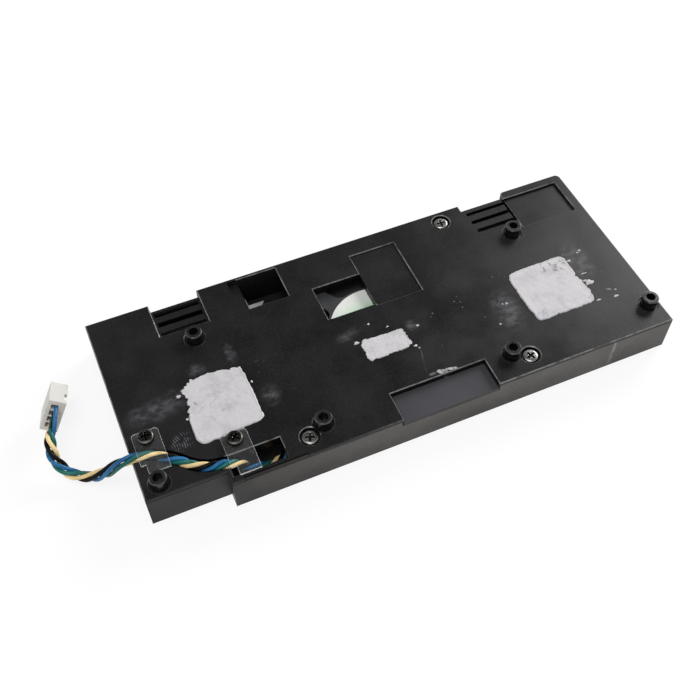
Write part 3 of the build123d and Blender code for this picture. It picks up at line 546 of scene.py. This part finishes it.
housingLook = dict(
    plateLook,
    dark=(0.0034, 0.0033, 0.0034, 1),
    light=(0.0066, 0.0064, 0.0064, 1),
    # over the wall, one broad lighter spot, brightest to the right: a painted reflection of the pale floor,
    # not a stain
    stainsAndSheen=[(((70.0, -31.0), (145.0, 60.0), 0.0, 0.5), (0.085, 0.078, 0.072, 1), 1.0)],
    hazes=[((0.0, 0.0), (80.0, 40.0), 0.0)],
    hazeAmount=0.12,
    lints=[((56.0, -31.0), (3.0, 3.0), 0.0)],
    scrapes=[(((55.9, -31.0), (0.9, 1.2), 0.0, 0.8), (0.3, 0.29, 0.28, 1), 0.6)],
    fingers=[],
    paintedLightFloors=[],
    wallShadeShare=0.0,
    fade=0.45,
    edgeWearAndHighlight=0.35,
    roughness=(0.42, 0.56),
    gloss=0.22,
)


# Satin black paint in layers: clouds, stains and painted sheen, grain, greasy haze, lint, scrapes,
# finger marks, recess floors painted lighter as painted light, walls painted dark as painted shade,
# a darker foot, and rims rubbed to metal with a painted highlight but for a stretch in front painted
# dark as painted shade
def paintFinish(name, look):
    paint = Finish(name, Specular_IOR_Level=look["gloss"])
    colour = paint.mix(paint.noise(look["cloudScale"], 3.0), look["dark"], look["light"])
    colour = paint.marked(colour, look["stainsAndSheen"])
    grain = paint.ramp(paint.noise(look["grainScale"] * 0.6, 3.0, 0.7), 0.4, 0.75, 0.0, look["grainAmount"])
    colour = paint.mix(grain, colour, look["grainColour"])
    smear = paint.ramp(paint.noise(look["hazeScale"], 6.0, 0.7, look["hazeStretch"]), 0.36, 0.7, 0.07, 1.0)
    haze = paint.times(smear, paint.spots(look["hazes"]))
    colour = paint.mix(paint.times(haze, look["hazeAmount"]), colour, look["hazeColour"])
    dots = paint.ramp(paint.cells(look["lintScale"]), look["lintReach"], 0.0)
    lint = paint.times(dots, paint.ramp(paint.noise(look["lintClumps"], 2.0), 0.52, 0.62))
    colour = paint.mix(paint.times(lint, paint.spots(look["lints"])), colour, look["lintColour"])
    streaky = paint.ramp(paint.noise(look["scrapeScale"], 4.0, 0.7, look["scrapeStretch"]), 0.35, 0.6)
    colour = paint.marked(colour, look["scrapes"], streaky)
    for finger in look["fingers"]:
        touched = paint.times(paint.ridges(*finger), look["fingerAmount"])
        colour = paint.mix(touched, colour, look["hazeColour"])
    # recess floors painted lighter: painted light
    for (low, high), under, shade in look["paintedLightFloors"]:
        there = paint.times(paint.within(0, low[0], high[0]), paint.within(1, low[1], high[1]))
        level = paint.within(2, farBelow, under)
        paintedFloorLight = paint.times(there, level, paint.ramp(paint.upness(), *levelFace))
        colour = paint.mix(paintedFloorLight, colour, shade)
    # vertical faces painted dark: painted shade
    paintedWallShade = paint.times(paint.ramp(paint.upness(), *wallFace), look["wallShadeShare"])
    colour = paint.mix(paintedWallShade, colour, look["wallShadeColour"])
    foot = paint.ramp(paint.coordinate(2), *look["fadeHeights"], 0.0, look["fade"])
    colour = paint.mix(foot, colour, look["dark"])
    # rims painted bright as worn metal and painted highlight, but painted dark as painted shade in front
    byFront = paint.times(paint.within(1, *look["frontAcross"]), paint.within(0, *look["frontAlong"]))
    paintedFrontRimShade = paint.times(paint.bevel(), byFront, look["frontRimShade"])
    highlightOutsideFront = paint.maths("SUBTRACT", 1.0, paint.times(byFront, look["frontRimShade"]))
    patches = paint.ramp(paint.noise(look["edgeScale"], 4.0, 0.65), 0.3, 0.62, 0.2, 1.0)
    rimWearAndHighlight = paint.times(paint.bevel(), patches, highlightOutsideFront, look["edgeWearAndHighlight"])
    paint.put(paint.shader.inputs["Metallic"], rimWearAndHighlight)
    paint.colour(paint.mix(rimWearAndHighlight, paint.mix(paintedFrontRimShade, colour, look["wallShadeColour"]), look["edgeWearAndHighlightColour"]))
    broad = paint.mottle(look["cloudScale"] * 3, 5.0, *look["roughness"])
    paint.rough(paint.maths("ADD", broad, paint.times(haze, look["hazeRough"])))
    paint.bump(paint.noise(look["grainScale"], 2.0), look["grainHeight"], 0.6)
    return paint.material


# White film without print, pale green in a wide band across its middle
label = {
    "white": (0.66, 0.665, 0.635, 1),
    "green": (0.43, 0.68, 0.46, 1),
    "band": ((0.35, 2.5), (17.0, 10.0), 0.0, 0.55),
    "bandShare": 0.9,
    "roughness": (0.25, 0.4),
}


def labelFinish():
    film = Finish("labelFilm")
    wash = film.times(film.spot(*label["band"]), label["bandShare"])
    film.colour(film.mix(wash, label["white"], label["green"]))
    film.rough(film.mottle(300.0, 3.0, *label["roughness"]))
    film.bump(film.noise(400.0, 2.0), 0.00003, 0.4)
    return film.material


# Blackened posts: black sides, a top painted greyer as painted light, and a rim painted brighter as a
# painted highlight
posts = {
    "side": (0.0022, 0.0022, 0.0024, 1),
    # top and rim colours: painted light on the top, a painted highlight on the rim
    "top": (0.011, 0.011, 0.012, 1),
    "rim": (0.045, 0.045, 0.047, 1),
    "topFace": (0.9, 0.97),
    "roughness": (0.2, 0.32),
    "gloss": 0.5,
}


def postFinish():
    post = Finish("postBlack", Specular_IOR_Level=posts["gloss"])
    # the top painted greyer than the sides: painted light
    top = post.ramp(post.upness(), *posts["topFace"])
    rimWearAndHighlight = post.rubbedRimAndHighlight(700.0)
    # the rim painted brighter: painted highlight
    colour = post.mix(top, posts["side"], posts["top"])
    post.colour(post.mix(rimWearAndHighlight, colour, posts["rim"]))
    post.rough(post.mottle(500.0, 3.0, *posts["roughness"]))
    post.bump(post.noise(2600.0, 2.0), 0.00002, 0.5)
    return post.material


# Plain finishes: the nodes each one dresses, its colour, roughness, metal and drift of colour
plainLooks = {
    "finMetal": (("fin_bank_left", "fin_bank_right"), (0.62, 0.63, 0.64), 0.34, 1.0, 0.12),
    "frameMetal": (("fan_frame",), (0.03, 0.031, 0.033), 0.42, 0.0, 0.12),
    "tubeBrass": (("bearing_tube",), (0.6, 0.45, 0.2), 0.3, 1.0, 0.12),
    "bearingBronze": (("sleeve_bearing",), (0.45, 0.28, 0.15), 0.5, 1.0, 0.12),
    "padPlastic": (("thrust_pad",), (0.03, 0.03, 0.03), 0.4, 0.0, 0.12),
    "boardLacquer": (("circuit_board",), (0.01, 0.11, 0.045), 0.35, 0.0, 0.12),
    "chipPlastic": (("motor_driver",), (0.018, 0.018, 0.018), 0.5, 0.0, 0.12),
    "coreSteel": (("stator_core",), (0.3, 0.3, 0.31), 0.45, 1.0, 0.12),
    "coilCopper": (("stator_coils",), (0.62, 0.25, 0.1), 0.32, 1.0, 0.12),
    "shaftSteel": (("rotor_shaft",), (0.6, 0.6, 0.61), 0.2, 1.0, 0.12),
    "clipSteel": (("shaft_clip",), (0.4, 0.4, 0.41), 0.35, 1.0, 0.12),
    "cupSteel": (("rotor_yoke",), (0.5, 0.5, 0.5), 0.35, 1.0, 0.12),
    "magnetBlack": (("magnet_ring",), (0.04, 0.04, 0.04), 0.55, 0.0, 0.12),
    "impellerPlastic": (("impeller",), (0.02, 0.02, 0.021), 0.38, 0.0, 0.12),
    "leadCover": (("fan_leads",), (0.02, 0.02, 0.02), 0.4, 0.0, 0.12),
    "connectorNylon": (("connector_housing",), (0.53, 0.515, 0.48), 0.45, 0.0, 0.05),
    "terminalTin": (("connector_terminals",), (0.7, 0.7, 0.69), 0.3, 1.0, 0.12),
}
plainGrain = {"cloudScale": 75.0, "roughScale": 187.5, "grainScale": 1500.0, "grainHeight": 0.00002}


# One colour that drifts lighter and darker, with a fine grain
def plainFinish(name, colour, rough, metal, drift):
    made = Finish(name, Metallic=metal)
    shade = made.mottle(plainGrain["cloudScale"], 4.0)
    made.colour(made.mix(shade, shaded(colour, 1 - drift), shaded(colour, 1 + drift)))
    made.rough(made.mottle(plainGrain["roughScale"], 3.0, rough * 0.85, rough * 1.15))
    made.bump(made.noise(plainGrain["grainScale"], 2.0), plainGrain["grainHeight"], 0.5)
    return made.material


def dress(finish, *names):
    for name in names:
        mesh = nodes[name].data
        mesh.materials.clear()
        mesh.materials.append(finish)


dress(paintFinish("platePaint", plateLook), "base_plate")
dress(paintFinish("housingPaint", housingLook), "housing")
dress(postFinish(), "board_posts")
dress(labelFinish(), "fan_label")
for finishName, (dressed, *look) in plainLooks.items():
    dress(plainFinish(finishName, *look), *dressed)
print("CAD nodes dressed")

# The cable clips, in millimetres
clips = {
    "pieces": {"cable_clip_left": "leftClip", "cable_clip_right": "rightClip"},
    # seen from above, from the low corner: notched there, and rounded at the two far corners
    "outline": [
        (1.3, 0.0), (1.3, 2.6), (0.0, 2.6), (0.0, 11.3), (0.07, 11.65), (0.26, 11.94), (0.55, 12.13),
        (0.9, 12.2), (6.0, 12.2), (6.35, 12.13), (6.64, 11.94), (6.83, 11.65), (6.9, 11.3), (6.9, 0.0),
    ],
    # the rims' radius and the points round it, and how far in the flat face's own ring lies
    "rim": 0.16,
    "rimPoints": 5,
    "border": 0.4,
    "face": (0.6, 0.61, 0.62, 1),
    "cut": (0.8, 0.81, 0.82, 1),
    "refraction": 1.45,
    # how much shows of a face, what a scuff adds to it, and how much shows of a cut edge
    "faceShows": 0.02,
    "scuffAdds": 0.05,
    "cutShows": 0.6,
    "roughness": (0.06, 0.25),
}


# Clear sheet: nearly gone on its faces, frosted and bright on its cut edges
def clearFinish():
    sheet = Finish("clearSheet", IOR=clips["refraction"])
    edge = sheet.ramp(sheet.upness(), 0.75, 0.5)
    scuffs = sheet.ramp(sheet.noise(700.0, 6.0, 0.75), 0.5, 0.75)
    sheet.colour(sheet.mix(edge, clips["face"], clips["cut"]))
    face = sheet.maths("ADD", sheet.times(scuffs, clips["scuffAdds"]), clips["faceShows"])
    cut = sheet.times(edge, clips["cutShows"])
    sheet.put(sheet.shader.inputs["Alpha"], sheet.largest(face, cut))
    sheet.rough(sheet.ramp(scuffs, 0.0, 1.0, *clips["roughness"]))
    return sheet.material


# A sheet with rounded rims: its outline drawn in by r (1 - cos a) where it rises by r sin a
def clipSkin(low, high):
    corners = np.array(clips["outline"]) * mm + low[:2]
    before, after = corners - np.roll(corners, 1, 0), np.roll(corners, -1, 0) - corners
    before /= np.linalg.norm(before, axis=1, keepdims=True)
    after /= np.linalg.norm(after, axis=1, keepdims=True)
    inwards = np.stack([before[:, 1] + after[:, 1], -before[:, 0] - after[:, 0]], -1)
    inwards /= (1 + (before * after).sum(1))[:, None]
    bend = np.linspace(0, np.pi / 2, clips["rimPoints"])
    pulled = clips["rim"] * mm * (1 - np.cos(bend))
    sunk = clips["rim"] * mm * (1 - np.sin(bend))
    border = [clips["border"] * mm]
    drawn = np.concatenate([border, pulled[::-1], pulled, border])
    level = np.concatenate([[high[2]], high[2] - sunk[::-1], low[2] + sunk, [low[2]]])
    flat = corners[None] + drawn[:, None, None] * inwards[None]
    height = np.broadcast_to(level[:, None, None], (*flat.shape[:2], 1))
    return closedSkin(np.concatenate([flat, height], -1))


def makeClips():
    clear = clearFinish()
    for node, name in clips["pieces"].items():
        low, high = (np.array(corner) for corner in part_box(node))
        piece = makePiece(name, [clipSkin(low, high)], [clear], sharp=75.0)
        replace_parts(piece, node)


makeClips()
print("cable clips made")

# Thermal compound that stayed on the plate, in millimetres
compound = {
    # each patch: its seed, how ragged it is, its outline, and torn stretches with their reach
    "patches": {
        "left": {
            "seed": 11,
            "ragged": 0.1,
            "outline": [
                (-56.4, 0.0), (-54.9, 1.2), (-52.4, 2.3), (-48.2, 2.7), (-45.5, 2.5), (-42.9, 1.3),
                (-40.0, 1.4), (-39.4, -1.4), (-39.4, -16.3), (-47.9, -16.9), (-56.2, -17.6),
                (-57.4, -15.7), (-57.1, -7.9), (-56.1, -5.2),
            ],
            "torn": [(-57.3, -4.0, 3.4), (-41.5, 2.0, 1.6), (-54.0, 2.0, 1.8)],
        },
        "middle": {
            "seed": 12,
            "ragged": 0.08,
            "outline": [
                (-7.9, -3.8), (-0.5, -4.1), (4.6, -4.2), (4.8, -6.6), (5.0, -9.3), (3.6, -10.7),
                (-0.5, -10.7), (-5.1, -10.8), (-7.4, -11.0), (-8.1, -9.4), (-7.7, -7.1),
            ],
            "torn": [(-8.0, -4.6, 1.6), (4.9, -9.0, 1.7), (5.0, -5.5, 1.0)],
        },
        "right": {
            "seed": 13,
            "ragged": 0.07,
            "outline": [
                (41.2, 1.2), (49.3, 1.4), (56.6, 1.5), (57.9, 0.7), (58.0, -7.5), (58.4, -13.5),
                (58.2, -16.8), (50.6, -16.9), (44.2, -17.0), (41.4, -17.1), (40.0, -16.2),
                (39.5, -11.1), (39.6, 0.2),
            ],
            "torn": [(58.4, -14.5, 3.0), (46.0, -17.0, 2.2), (58.0, -8.0, 1.5)],
        },
    },
    # the outline: its samples, the spans its corners are eased over, the counts of waves that make
    # it ragged (the first, and one past the last), how they fade, and how far a torn stretch moves
    "samples": 300,
    "eased": (1, 2, 3),
    "jags": (5, 70),
    "jagsFade": 0.8,
    "tornReach": 0.24,
    # rings from the middle to the rim, as first share, last share and count
    "innerRings": (0.02, 0.9, 44),
    "rimRings": (0.91, 1.0, 10),
    # the height: thickness, its level and relief as shares of it, and its limits
    "thickness": 0.26,
    "level": 0.8,
    "relief": 0.09,
    "heights": (0.02, 0.42),
    # ripples: shortest, longest and count; the lip: its share of the way out, width and height;
    # and the share of the way out where the rim turns down
    "ripples": (0.9, 7.0, 26),
    "lip": (0.965, 0.02, 0.3),
    "rimFrom": 0.955,
    "dry": (0.45, 0.438, 0.45, 1),
    "wiped": (0.38, 0.368, 0.38, 1),
    "roughness": (0.62, 0.85),
    # marks and dark veins in the paste: a spot, its colour and how much of it
    "marks": [
        (((-54.2, -5.2), (0.5, 0.9), 25.0, 0.4), (0.1, 0.1, 0.1, 1), 0.7),
        (((56.6, -0.4), (1.0, 2.4), 8.0, 0.7), (0.12, 0.12, 0.12, 1), 0.85),
        (((53.2, -0.9), (2.6, 0.35), -12.0, 0.9), (0.2, 0.2, 0.2, 1), 0.7),
        (((55.4, -5.6), (0.16, 1.6), -40.0, 0.7), (0.15, 0.15, 0.16, 1), 0.8),
        (((42.6, -15.2), (2.8, 1.9), 0.0, 0.8), (0.26, 0.25, 0.29, 1), 0.7),
        (((57.6, -15.4), (1.6, 1.0), 0.0, 0.5), (0.24, 0.24, 0.23, 1), 0.75),
        (((-49.5, -8.5), (1.8, 1.2), 30.0, 0.9), (0.4, 0.38, 0.4, 1), 0.5),
    ],
    "veined": [
        (((52.5, -1.5), (5.5, 3.2), -20.0, 0.6), (0.12, 0.12, 0.12, 1), 0.85),
        (((44.0, -14.0), (4.0, 3.0), 0.0, 0.7), (0.12, 0.12, 0.12, 1), 0.5),
        (((-50.0, -7.0), (8.0, 8.0), 0.0, 0.8), (0.12, 0.12, 0.12, 1), 0.3),
    ],
    # crumbs that lie loose: x, y, two radii and height
    "crumbs": [
        (58.7, -1.3, 0.55, 0.4, 0.3), (59.9, -10.4, 1.2, 0.85, 0.35), (59.0, -9.4, 0.7, 0.3, 0.2),
        (60.1, -7.0, 0.9, 0.18, 0.2), (63.5, 1.0, 0.4, 0.3, 0.2), (62.6, 0.5, 0.3, 0.25, 0.15),
        (64.1, -17.6, 0.75, 0.35, 0.25), (65.2, -15.5, 0.3, 0.25, 0.15), (34.8, -7.9, 0.4, 0.3, 0.2),
        (33.7, -7.6, 0.25, 0.2, 0.15), (29.8, -13.5, 0.3, 0.3, 0.15), (-3.2, 0.7, 0.35, 0.3, 0.2),
        (1.2, -2.1, 0.4, 0.22, 0.15), (8.9, -5.0, 0.4, 0.35, 0.2), (5.5, -10.9, 0.5, 0.35, 0.2),
        (6.1, -11.9, 0.25, 0.2, 0.12), (-8.7, -3.9, 0.7, 0.5, 0.25), (-57.6, -1.4, 0.6, 0.42, 0.3),
        (-38.7, -4.4, 0.3, 0.35, 0.2), (-57.6, -8.8, 0.4, 0.3, 0.2), (58.9, -16.9, 0.7, 0.25, 0.2),
    ],
    "crumbSeed": 5,
    "crumbAround": 18,
    "crumbRings": 6,
    # a crumb's outline: waves and their depth; the highest phase; and the angle left at its pole
    "crumbJags": [(3, 0.16), (5, 0.12)],
    "crumbPhase": 6,
    "crumbPole": 0.05,
}


# A closed outline sampled evenly, its corners eased, and pushed in and out by smooth noise that
# grows where the paste tore
def raggedOutline(patch, random):
    corners = np.array(patch["outline"])
    looped = np.concatenate([corners, corners[:1]])
    run = np.concatenate([[0], np.cumsum(np.linalg.norm(np.diff(looped, axis=0), axis=1))])
    even = np.linspace(0, run[-1], compound["samples"], endpoint=False)
    edge = np.stack([np.interp(even, run, looped[:, axis]) for axis in range(2)], -1)
    for shift in compound["eased"]:
        edge = (np.roll(edge, shift, 0) + edge + np.roll(edge, -shift, 0)) / 3
    outwards = np.roll(edge, -1, 0) - np.roll(edge, 1, 0)
    outwards = np.stack([-outwards[:, 1], outwards[:, 0]], -1)
    outwards /= np.linalg.norm(outwards, axis=1, keepdims=True)
    turn = np.linspace(0, 2 * np.pi, len(edge), endpoint=False)
    counts = np.arange(*compound["jags"])
    waves = np.sin(turn[:, None] * counts + random.uniform(0, 2 * np.pi, len(counts)))
    noise = (waves * random.normal(0, 1, len(counts)) / counts ** compound["jagsFade"]).sum(-1)
    reach = np.full(len(edge), patch["ragged"])
    for x, y, wide in patch["torn"]:
        reach += compound["tornReach"] * np.exp(-((edge - (x, y)) ** 2).sum(1) / wide ** 2)
    return edge + outwards * (noise / noise.std() * reach)[:, None]


# A low slab over the outline: rings shrink to the middle, and the height is a rounded edge,
# a faint lip and ripples from wiping
def patchSkin(patch):
    random = np.random.default_rng(patch["seed"])
    edge = raggedOutline(patch, random)
    middle = edge.mean(0)
    share = np.concatenate([np.linspace(*compound["innerRings"]), np.linspace(*compound["rimRings"])])
    flat = middle + share[:, None, None] * (edge - middle)
    relief = compound["relief"] * ripple(flat[..., 0], flat[..., 1], *compound["ripples"], random)
    fall = np.sqrt(np.clip(1 - smoothStep(share, compound["rimFrom"], 1.0) ** 2, 0, 1))
    lipAt, lipWide, lipHigh = compound["lip"]
    lip = lipHigh * np.exp(-(((share - lipAt) / lipWide) ** 2))
    height = compound["thickness"] * (compound["level"] + relief + lip[:, None]) * fall[:, None]
    top = np.concatenate([flat, np.clip(height, *compound["heights"])[..., None]], -1)
    base = np.concatenate([flat[-1:], np.zeros((1, len(edge), 1))], -1)
    rings = np.concatenate([top, base]) * mm
    rings[..., 2] += plateTop
    return closedSkin(rings)


# A crumb: half an ellipsoid on the plate, its outline pushed about by a few waves
def crumbSkin(x, y, wide, deep, high, random):
    turn = np.linspace(0, 2 * np.pi, compound["crumbAround"], endpoint=False)
    rise = np.linspace(np.pi / 2 - compound["crumbPole"], 0, compound["crumbRings"])
    jag = 1.0
    for count, depth in compound["crumbJags"]:
        jag = jag + depth * np.sin(turn * count + random.uniform(0, compound["crumbPhase"]))
    flat = np.cos(rise)[:, None] * jag
    height = np.broadcast_to(high * np.sin(rise)[:, None], flat.shape)
    rings = np.stack([x + wide * flat * np.cos(turn), y + deep * flat * np.sin(turn), height], -1) * mm
    rings[..., 2] += plateTop
    return closedSkin(rings)


def compoundFinish():
    # dry paste: chalky pale grey, darker where it was wiped thin, with fine drag marks
    paste = Finish("dryCompound")
    wipe = paste.ramp(paste.noise(260.0, 5.0, 0.65), 0.42, 0.7)
    drag = paste.noise(700.0, 3.0, 0.5, (1.0, 0.25, 1.0))
    colour = paste.mix(wipe, compound["dry"], compound["wiped"])
    folds = paste.noise(300.0, 4.0, 0.6)
    veins = paste.times(paste.ramp(folds, 0.485, 0.505), paste.ramp(folds, 0.535, 0.515))
    broken = paste.ramp(paste.noise(750.0, 5.0, 0.7), 0.38, 0.56)
    colour = paste.marked(colour, compound["marks"], broken)
    paste.colour(paste.marked(colour, compound["veined"], veins))
    paste.rough(paste.ramp(drag, *usualNoise, *compound["roughness"]))
    paste.bump(paste.maths("ADD", drag, paste.times(paste.noise(2400.0, 3.0), 0.5)), 0.00005, 0.6)
    return paste.material


def makeCompound():
    paste = compoundFinish()
    for side, patch in compound["patches"].items():
        piece = makePiece(side + "Compound", [patchSkin(patch)], [paste], sharp=60.0)
        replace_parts(piece, "compound_" + side)
    random = np.random.default_rng(compound["crumbSeed"])
    skins = [crumbSkin(*crumb, random) for crumb in compound["crumbs"]]
    makePiece("compoundCrumbs", skins, [paste], sharp=60.0)


makeCompound()
print("thermal compound made")

# Cross-head screws, in millimetres
screws = {
    "kinds": {
        "shroud_screws": {"name": "shroudScrews", "head": 1.1, "shank": 1.1, "slot": "screw_steel"},
        "clip_screws": {"name": "clipScrews", "head": 1.2, "shank": 0.9, "slot": "screw_black"},
        "fan_screws": {"name": "fanScrews", "head": 1.2, "shank": 0.9, "slot": "screw_steel"},
    },
    # each slot's finish: name, colour, roughness and the colour of its rim, rubbed and painted brighter as
    # a painted highlight
    "finishes": {
        "screw_steel": ("zincSteel", (0.27, 0.265, 0.255), 0.34, (0.5, 0.49, 0.47, 1)),
        "screw_black": ("blackedSteel", (0.03, 0.029, 0.027), 0.34, (0.2, 0.19, 0.17, 1)),
    },
    # the colour painted in the cross's recess as painted shade, and how much of it
    "crossShade": (0.012, 0.012, 0.011, 1),
    "crossShadeShare": 0.93,
    # how much of the rim's painted highlight shows
    "rimWearAndHighlightShare": 0.7,
    # screws of one node lie further apart than this, and each is turned by up to so many radians
    "apart": 6.0,
    "turned": 1.5,
    "seed": 3,
    "around": 96,
    "pitch": 0.5,
    "threadDepth": 0.1,
    "threadRings": 60,
    # rings of the head, as first share of its radius, last share and count
    "domeRings": (0.02, 0.86, 30),
    "rimRings": (0.89, 1.0, 6),
    # the dome: rim and foot as shares of its height, where it turns down, and how its crown falls
    "rimHeight": 0.12,
    "domeFoot": 0.45,
    "domeTurn": 0.72,
    "crownDrop": 0.12,
    # the cross, in head radii: soft edges of an arm's side and end, reach of the bowl between them;
    # its depth as a share of the head's height, and the bowl's as a share of that
    "armSide": (0.15, 0.1),
    "armEnd": (0.62, 0.48),
    "bowlReach": 0.34,
    "crossDepth": 0.62,
    "bowlDepth": 0.6,
}


# The lowest and highest corner of each separate solid of a node, in metres
def solidsOf(node):
    points = np.empty(len(nodes[node].data.vertices) * 3)
    nodes[node].data.vertices.foreach_get("co", points)
    points = points.reshape(-1, 3)
    found = []
    while len(points):
        near = np.linalg.norm(points[:, :2] - points[0, :2], axis=1) < screws["apart"] * mm
        found.append((points[near].min(0), points[near].max(0)))
        points = points[~near]
    return found


# How deep in the pressed cross each point of a head is, 0 to 1: two arms and a bowl between them
def crossOf(out, turn):
    x, y = out[:, None] * np.cos(turn), out[:, None] * np.sin(turn)
    arms = []
    for along, across in ((x, y), (y, x)):
        narrow = smoothStep(np.abs(across), *screws["armSide"])
        short = smoothStep(np.abs(along), *screws["armEnd"])
        arms.append(narrow * short)
    bowl = smoothStep(out, screws["bowlReach"], 0.0)[:, None]
    return np.maximum(*arms), bowl * screws["bowlDepth"]


# One screw about its axis: a domed head with a cross pressed in, a flat rim, and a shank whose
# radius rises and falls once a pitch along a helix; with it, how deep in the cross each point is
def screwSkin(low, high, kind, turned):
    centre = (low + high) / 2
    radius = (high[0] - low[0]) / 2
    headHeight = kind["head"] * mm
    headBase = high[2] - headHeight
    turn = np.linspace(0, 2 * np.pi, screws["around"], endpoint=False)
    out = np.concatenate([np.linspace(*screws["domeRings"]), np.linspace(*screws["rimRings"])])
    cross, bowl = crossOf(out, turn + turned)
    rim, foot = screws["rimHeight"], screws["domeFoot"]
    past = np.clip(out - screws["domeTurn"], 0, 1) / (1 - screws["domeTurn"])
    dome = np.sqrt(np.clip(1 - past ** 2, 0, 1))
    crown = 1 - screws["crownDrop"] * out ** 2
    top = headBase + headHeight * (rim + (1 - rim) * crown * (foot + (1 - foot) * dome))[:, None]
    top = top - headHeight * screws["crossDepth"] * np.maximum(cross, bowl)
    circle = np.stack([np.cos(turn), np.sin(turn)], -1)
    head = np.concatenate([centre[:2] + radius * out[:, None, None] * circle, top[..., None]], -1)
    drop = np.concatenate([[0, 0], np.linspace(0, 1, screws["threadRings"])]) * (headBase - low[2])
    widths = np.full(len(drop), kind["shank"] * mm)
    widths[0] = radius
    phase = (drop / (screws["pitch"] * mm))[:, None] + turn / (2 * np.pi)
    groove = screws["threadDepth"] * mm * np.abs(2 * (phase % 1) - 1)
    groove[:2] = 0
    reach = widths[:, None] - groove
    level = np.broadcast_to((headBase - drop)[:, None], reach.shape)
    under = np.concatenate([centre[:2] + reach[..., None] * circle, level[..., None]], -1)
    crossShade = np.concatenate([cross.ravel(), np.zeros(reach.size), [1, 0]])
    return closedSkin(np.concatenate([head, under])), crossShade


def steelFinish(name, colour, rough, edge):
    # plated steel: a mottled grain, painted shade in the cross's recess, and a rim rubbed and painted
    # brighter as a painted highlight
    steel = Finish(name, Metallic=1.0)
    shade = steel.mottle(900.0, 4.0, roughness=0.6)
    rimWearAndHighlight = steel.rubbedRimAndHighlight(600.0)
    grained = steel.mix(shade, shaded(colour, 0.7), shaded(colour, 1))
    plated = steel.mix(steel.times(rimWearAndHighlight, screws["rimWearAndHighlightShare"]), grained, edge)
    # how deep in the cross a point is, for the painted shade there
    inCross = steel.add("ShaderNodeAttribute", attribute_name="crossShade").outputs["Fac"]
    steel.colour(steel.mix(steel.times(inCross, screws["crossShadeShare"]), plated, screws["crossShade"]))
    steel.rough(steel.mottle(1800.0, 3.0, rough * 0.8, rough * 1.2))
    steel.bump(steel.noise(3000.0, 2.0), 0.00001, 0.4)
    return steel.material


def makeScrews():
    finishes = {slot: steelFinish(*look) for slot, look in screws["finishes"].items()}
    random = np.random.default_rng(screws["seed"])
    for node, kind in screws["kinds"].items():
        made = [screwSkin(low, high, kind, random.uniform(0, screws["turned"]))
                for low, high in solidsOf(node)]
        skins, crossShades = zip(*made)
        piece = makePiece(kind["name"], skins, [finishes[kind["slot"]]])
        # the cross's painted shade, as a weight at each point
        layer = piece.data.attributes.new("crossShade", "FLOAT", "POINT")
        layer.data.foreach_set("value", np.concatenate(crossShades))
        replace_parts(piece, node)


makeScrews()
print("screws made")

# Plain studio: a pale floor, a pale world that darkens overhead, and three soft lamps
studio = {
    "floorSize": 3.0,
    "floorLevel": -0.00002,
    "floorColour": (0.86, 0.86, 0.86, 1),
    "floorRoughness": 0.9,
    # how much of the floor glows white to the camera and in reflections
    "floorGlow": 0.85,
    "horizon": (1.0, 1.0, 1.0, 1),
    "overhead": (0.06, 0.06, 0.06, 1),
    # how far up the sky starts to darken, and where it is darkest
    "darkens": (0.35, 0.82),
    "lamps": [
        # place, aim, size, power in watts
        ((-0.15, -0.12, 1.0), (0, 0, 0), 0.6, 5.0),
        ((0.8, 0.4, 0.48), (0.05, 0, 0), 0.5, 9.5),
        ((-0.35, -0.5, 0.6), (0, 0, 0), 0.5, 1.0),
    ],
}


def makeFloor():
    half, level = studio["floorSize"] / 2, studio["floorLevel"]
    mesh = bpy.data.meshes.new("floor")
    corners = [(-half, -half, level), (half, -half, level), (half, half, level), (-half, half, level)]
    mesh.from_pydata(corners, [], [(0, 1, 2, 3)])
    floor = bpy.data.objects.new("floor", mesh)
    bpy.context.scene.collection.objects.link(floor)
    pale = Finish("floorPale", Roughness=studio["floorRoughness"])
    pale.colour(studio["floorColour"])
    ray = pale.add("ShaderNodeLightPath").outputs
    seen = pale.largest(ray["Is Camera Ray"], ray["Is Glossy Ray"], ray["Is Transmission Ray"])
    glow = pale.add("ShaderNodeEmission", {"Color": (1, 1, 1, 1), "Strength": 1.0})
    share = pale.times(seen, studio["floorGlow"])
    both = pale.add("ShaderNodeMixShader", {0: share, 1: pale.shader.outputs[0], 2: glow.outputs[0]})
    pale.links.new(both.outputs[0], pale.nodes["Material Output"].inputs["Surface"])
    mesh.materials.append(pale.material)


def makeWorld():
    world = bpy.data.worlds.new("studio")
    world.use_nodes = True
    tree = world.node_tree
    sky = tree.nodes["Background"]
    direction = tree.nodes.new("ShaderNodeTexCoord").outputs["Generated"]
    split = tree.nodes.new("ShaderNodeSeparateXYZ")
    tree.links.new(direction, split.inputs[0])
    height = tree.nodes.new("ShaderNodeMapRange")
    height.interpolation_type = "SMOOTHSTEP"
    height.inputs["From Min"].default_value, height.inputs["From Max"].default_value = studio["darkens"]
    tree.links.new(split.outputs["Z"], height.inputs["Value"])
    blend = tree.nodes.new("ShaderNodeMix")
    blend.data_type = "RGBA"
    blend.inputs[6].default_value = studio["horizon"]
    blend.inputs[7].default_value = studio["overhead"]
    tree.links.new(height.outputs[0], blend.inputs[0])
    tree.links.new(blend.outputs[2], sky.inputs["Color"])
    bpy.context.scene.world = world


def makeLamps():
    for number, (place, aim, size, power) in enumerate(studio["lamps"]):
        data = bpy.data.lights.new("softLamp" + str(number), "AREA")
        data.shape = "DISK"
        data.size = size
        data.energy = power
        lamp = bpy.data.objects.new(data.name, data)
        bpy.context.scene.collection.objects.link(lamp)
        lamp.location = place
        lamp.rotation_euler = (Vector(aim) - Vector(place)).to_track_quat("-Z", "Y").to_euler()


makeFloor()
makeWorld()
makeLamps()
bpy.context.scene.view_settings.view_transform = "Standard"
print("studio set")
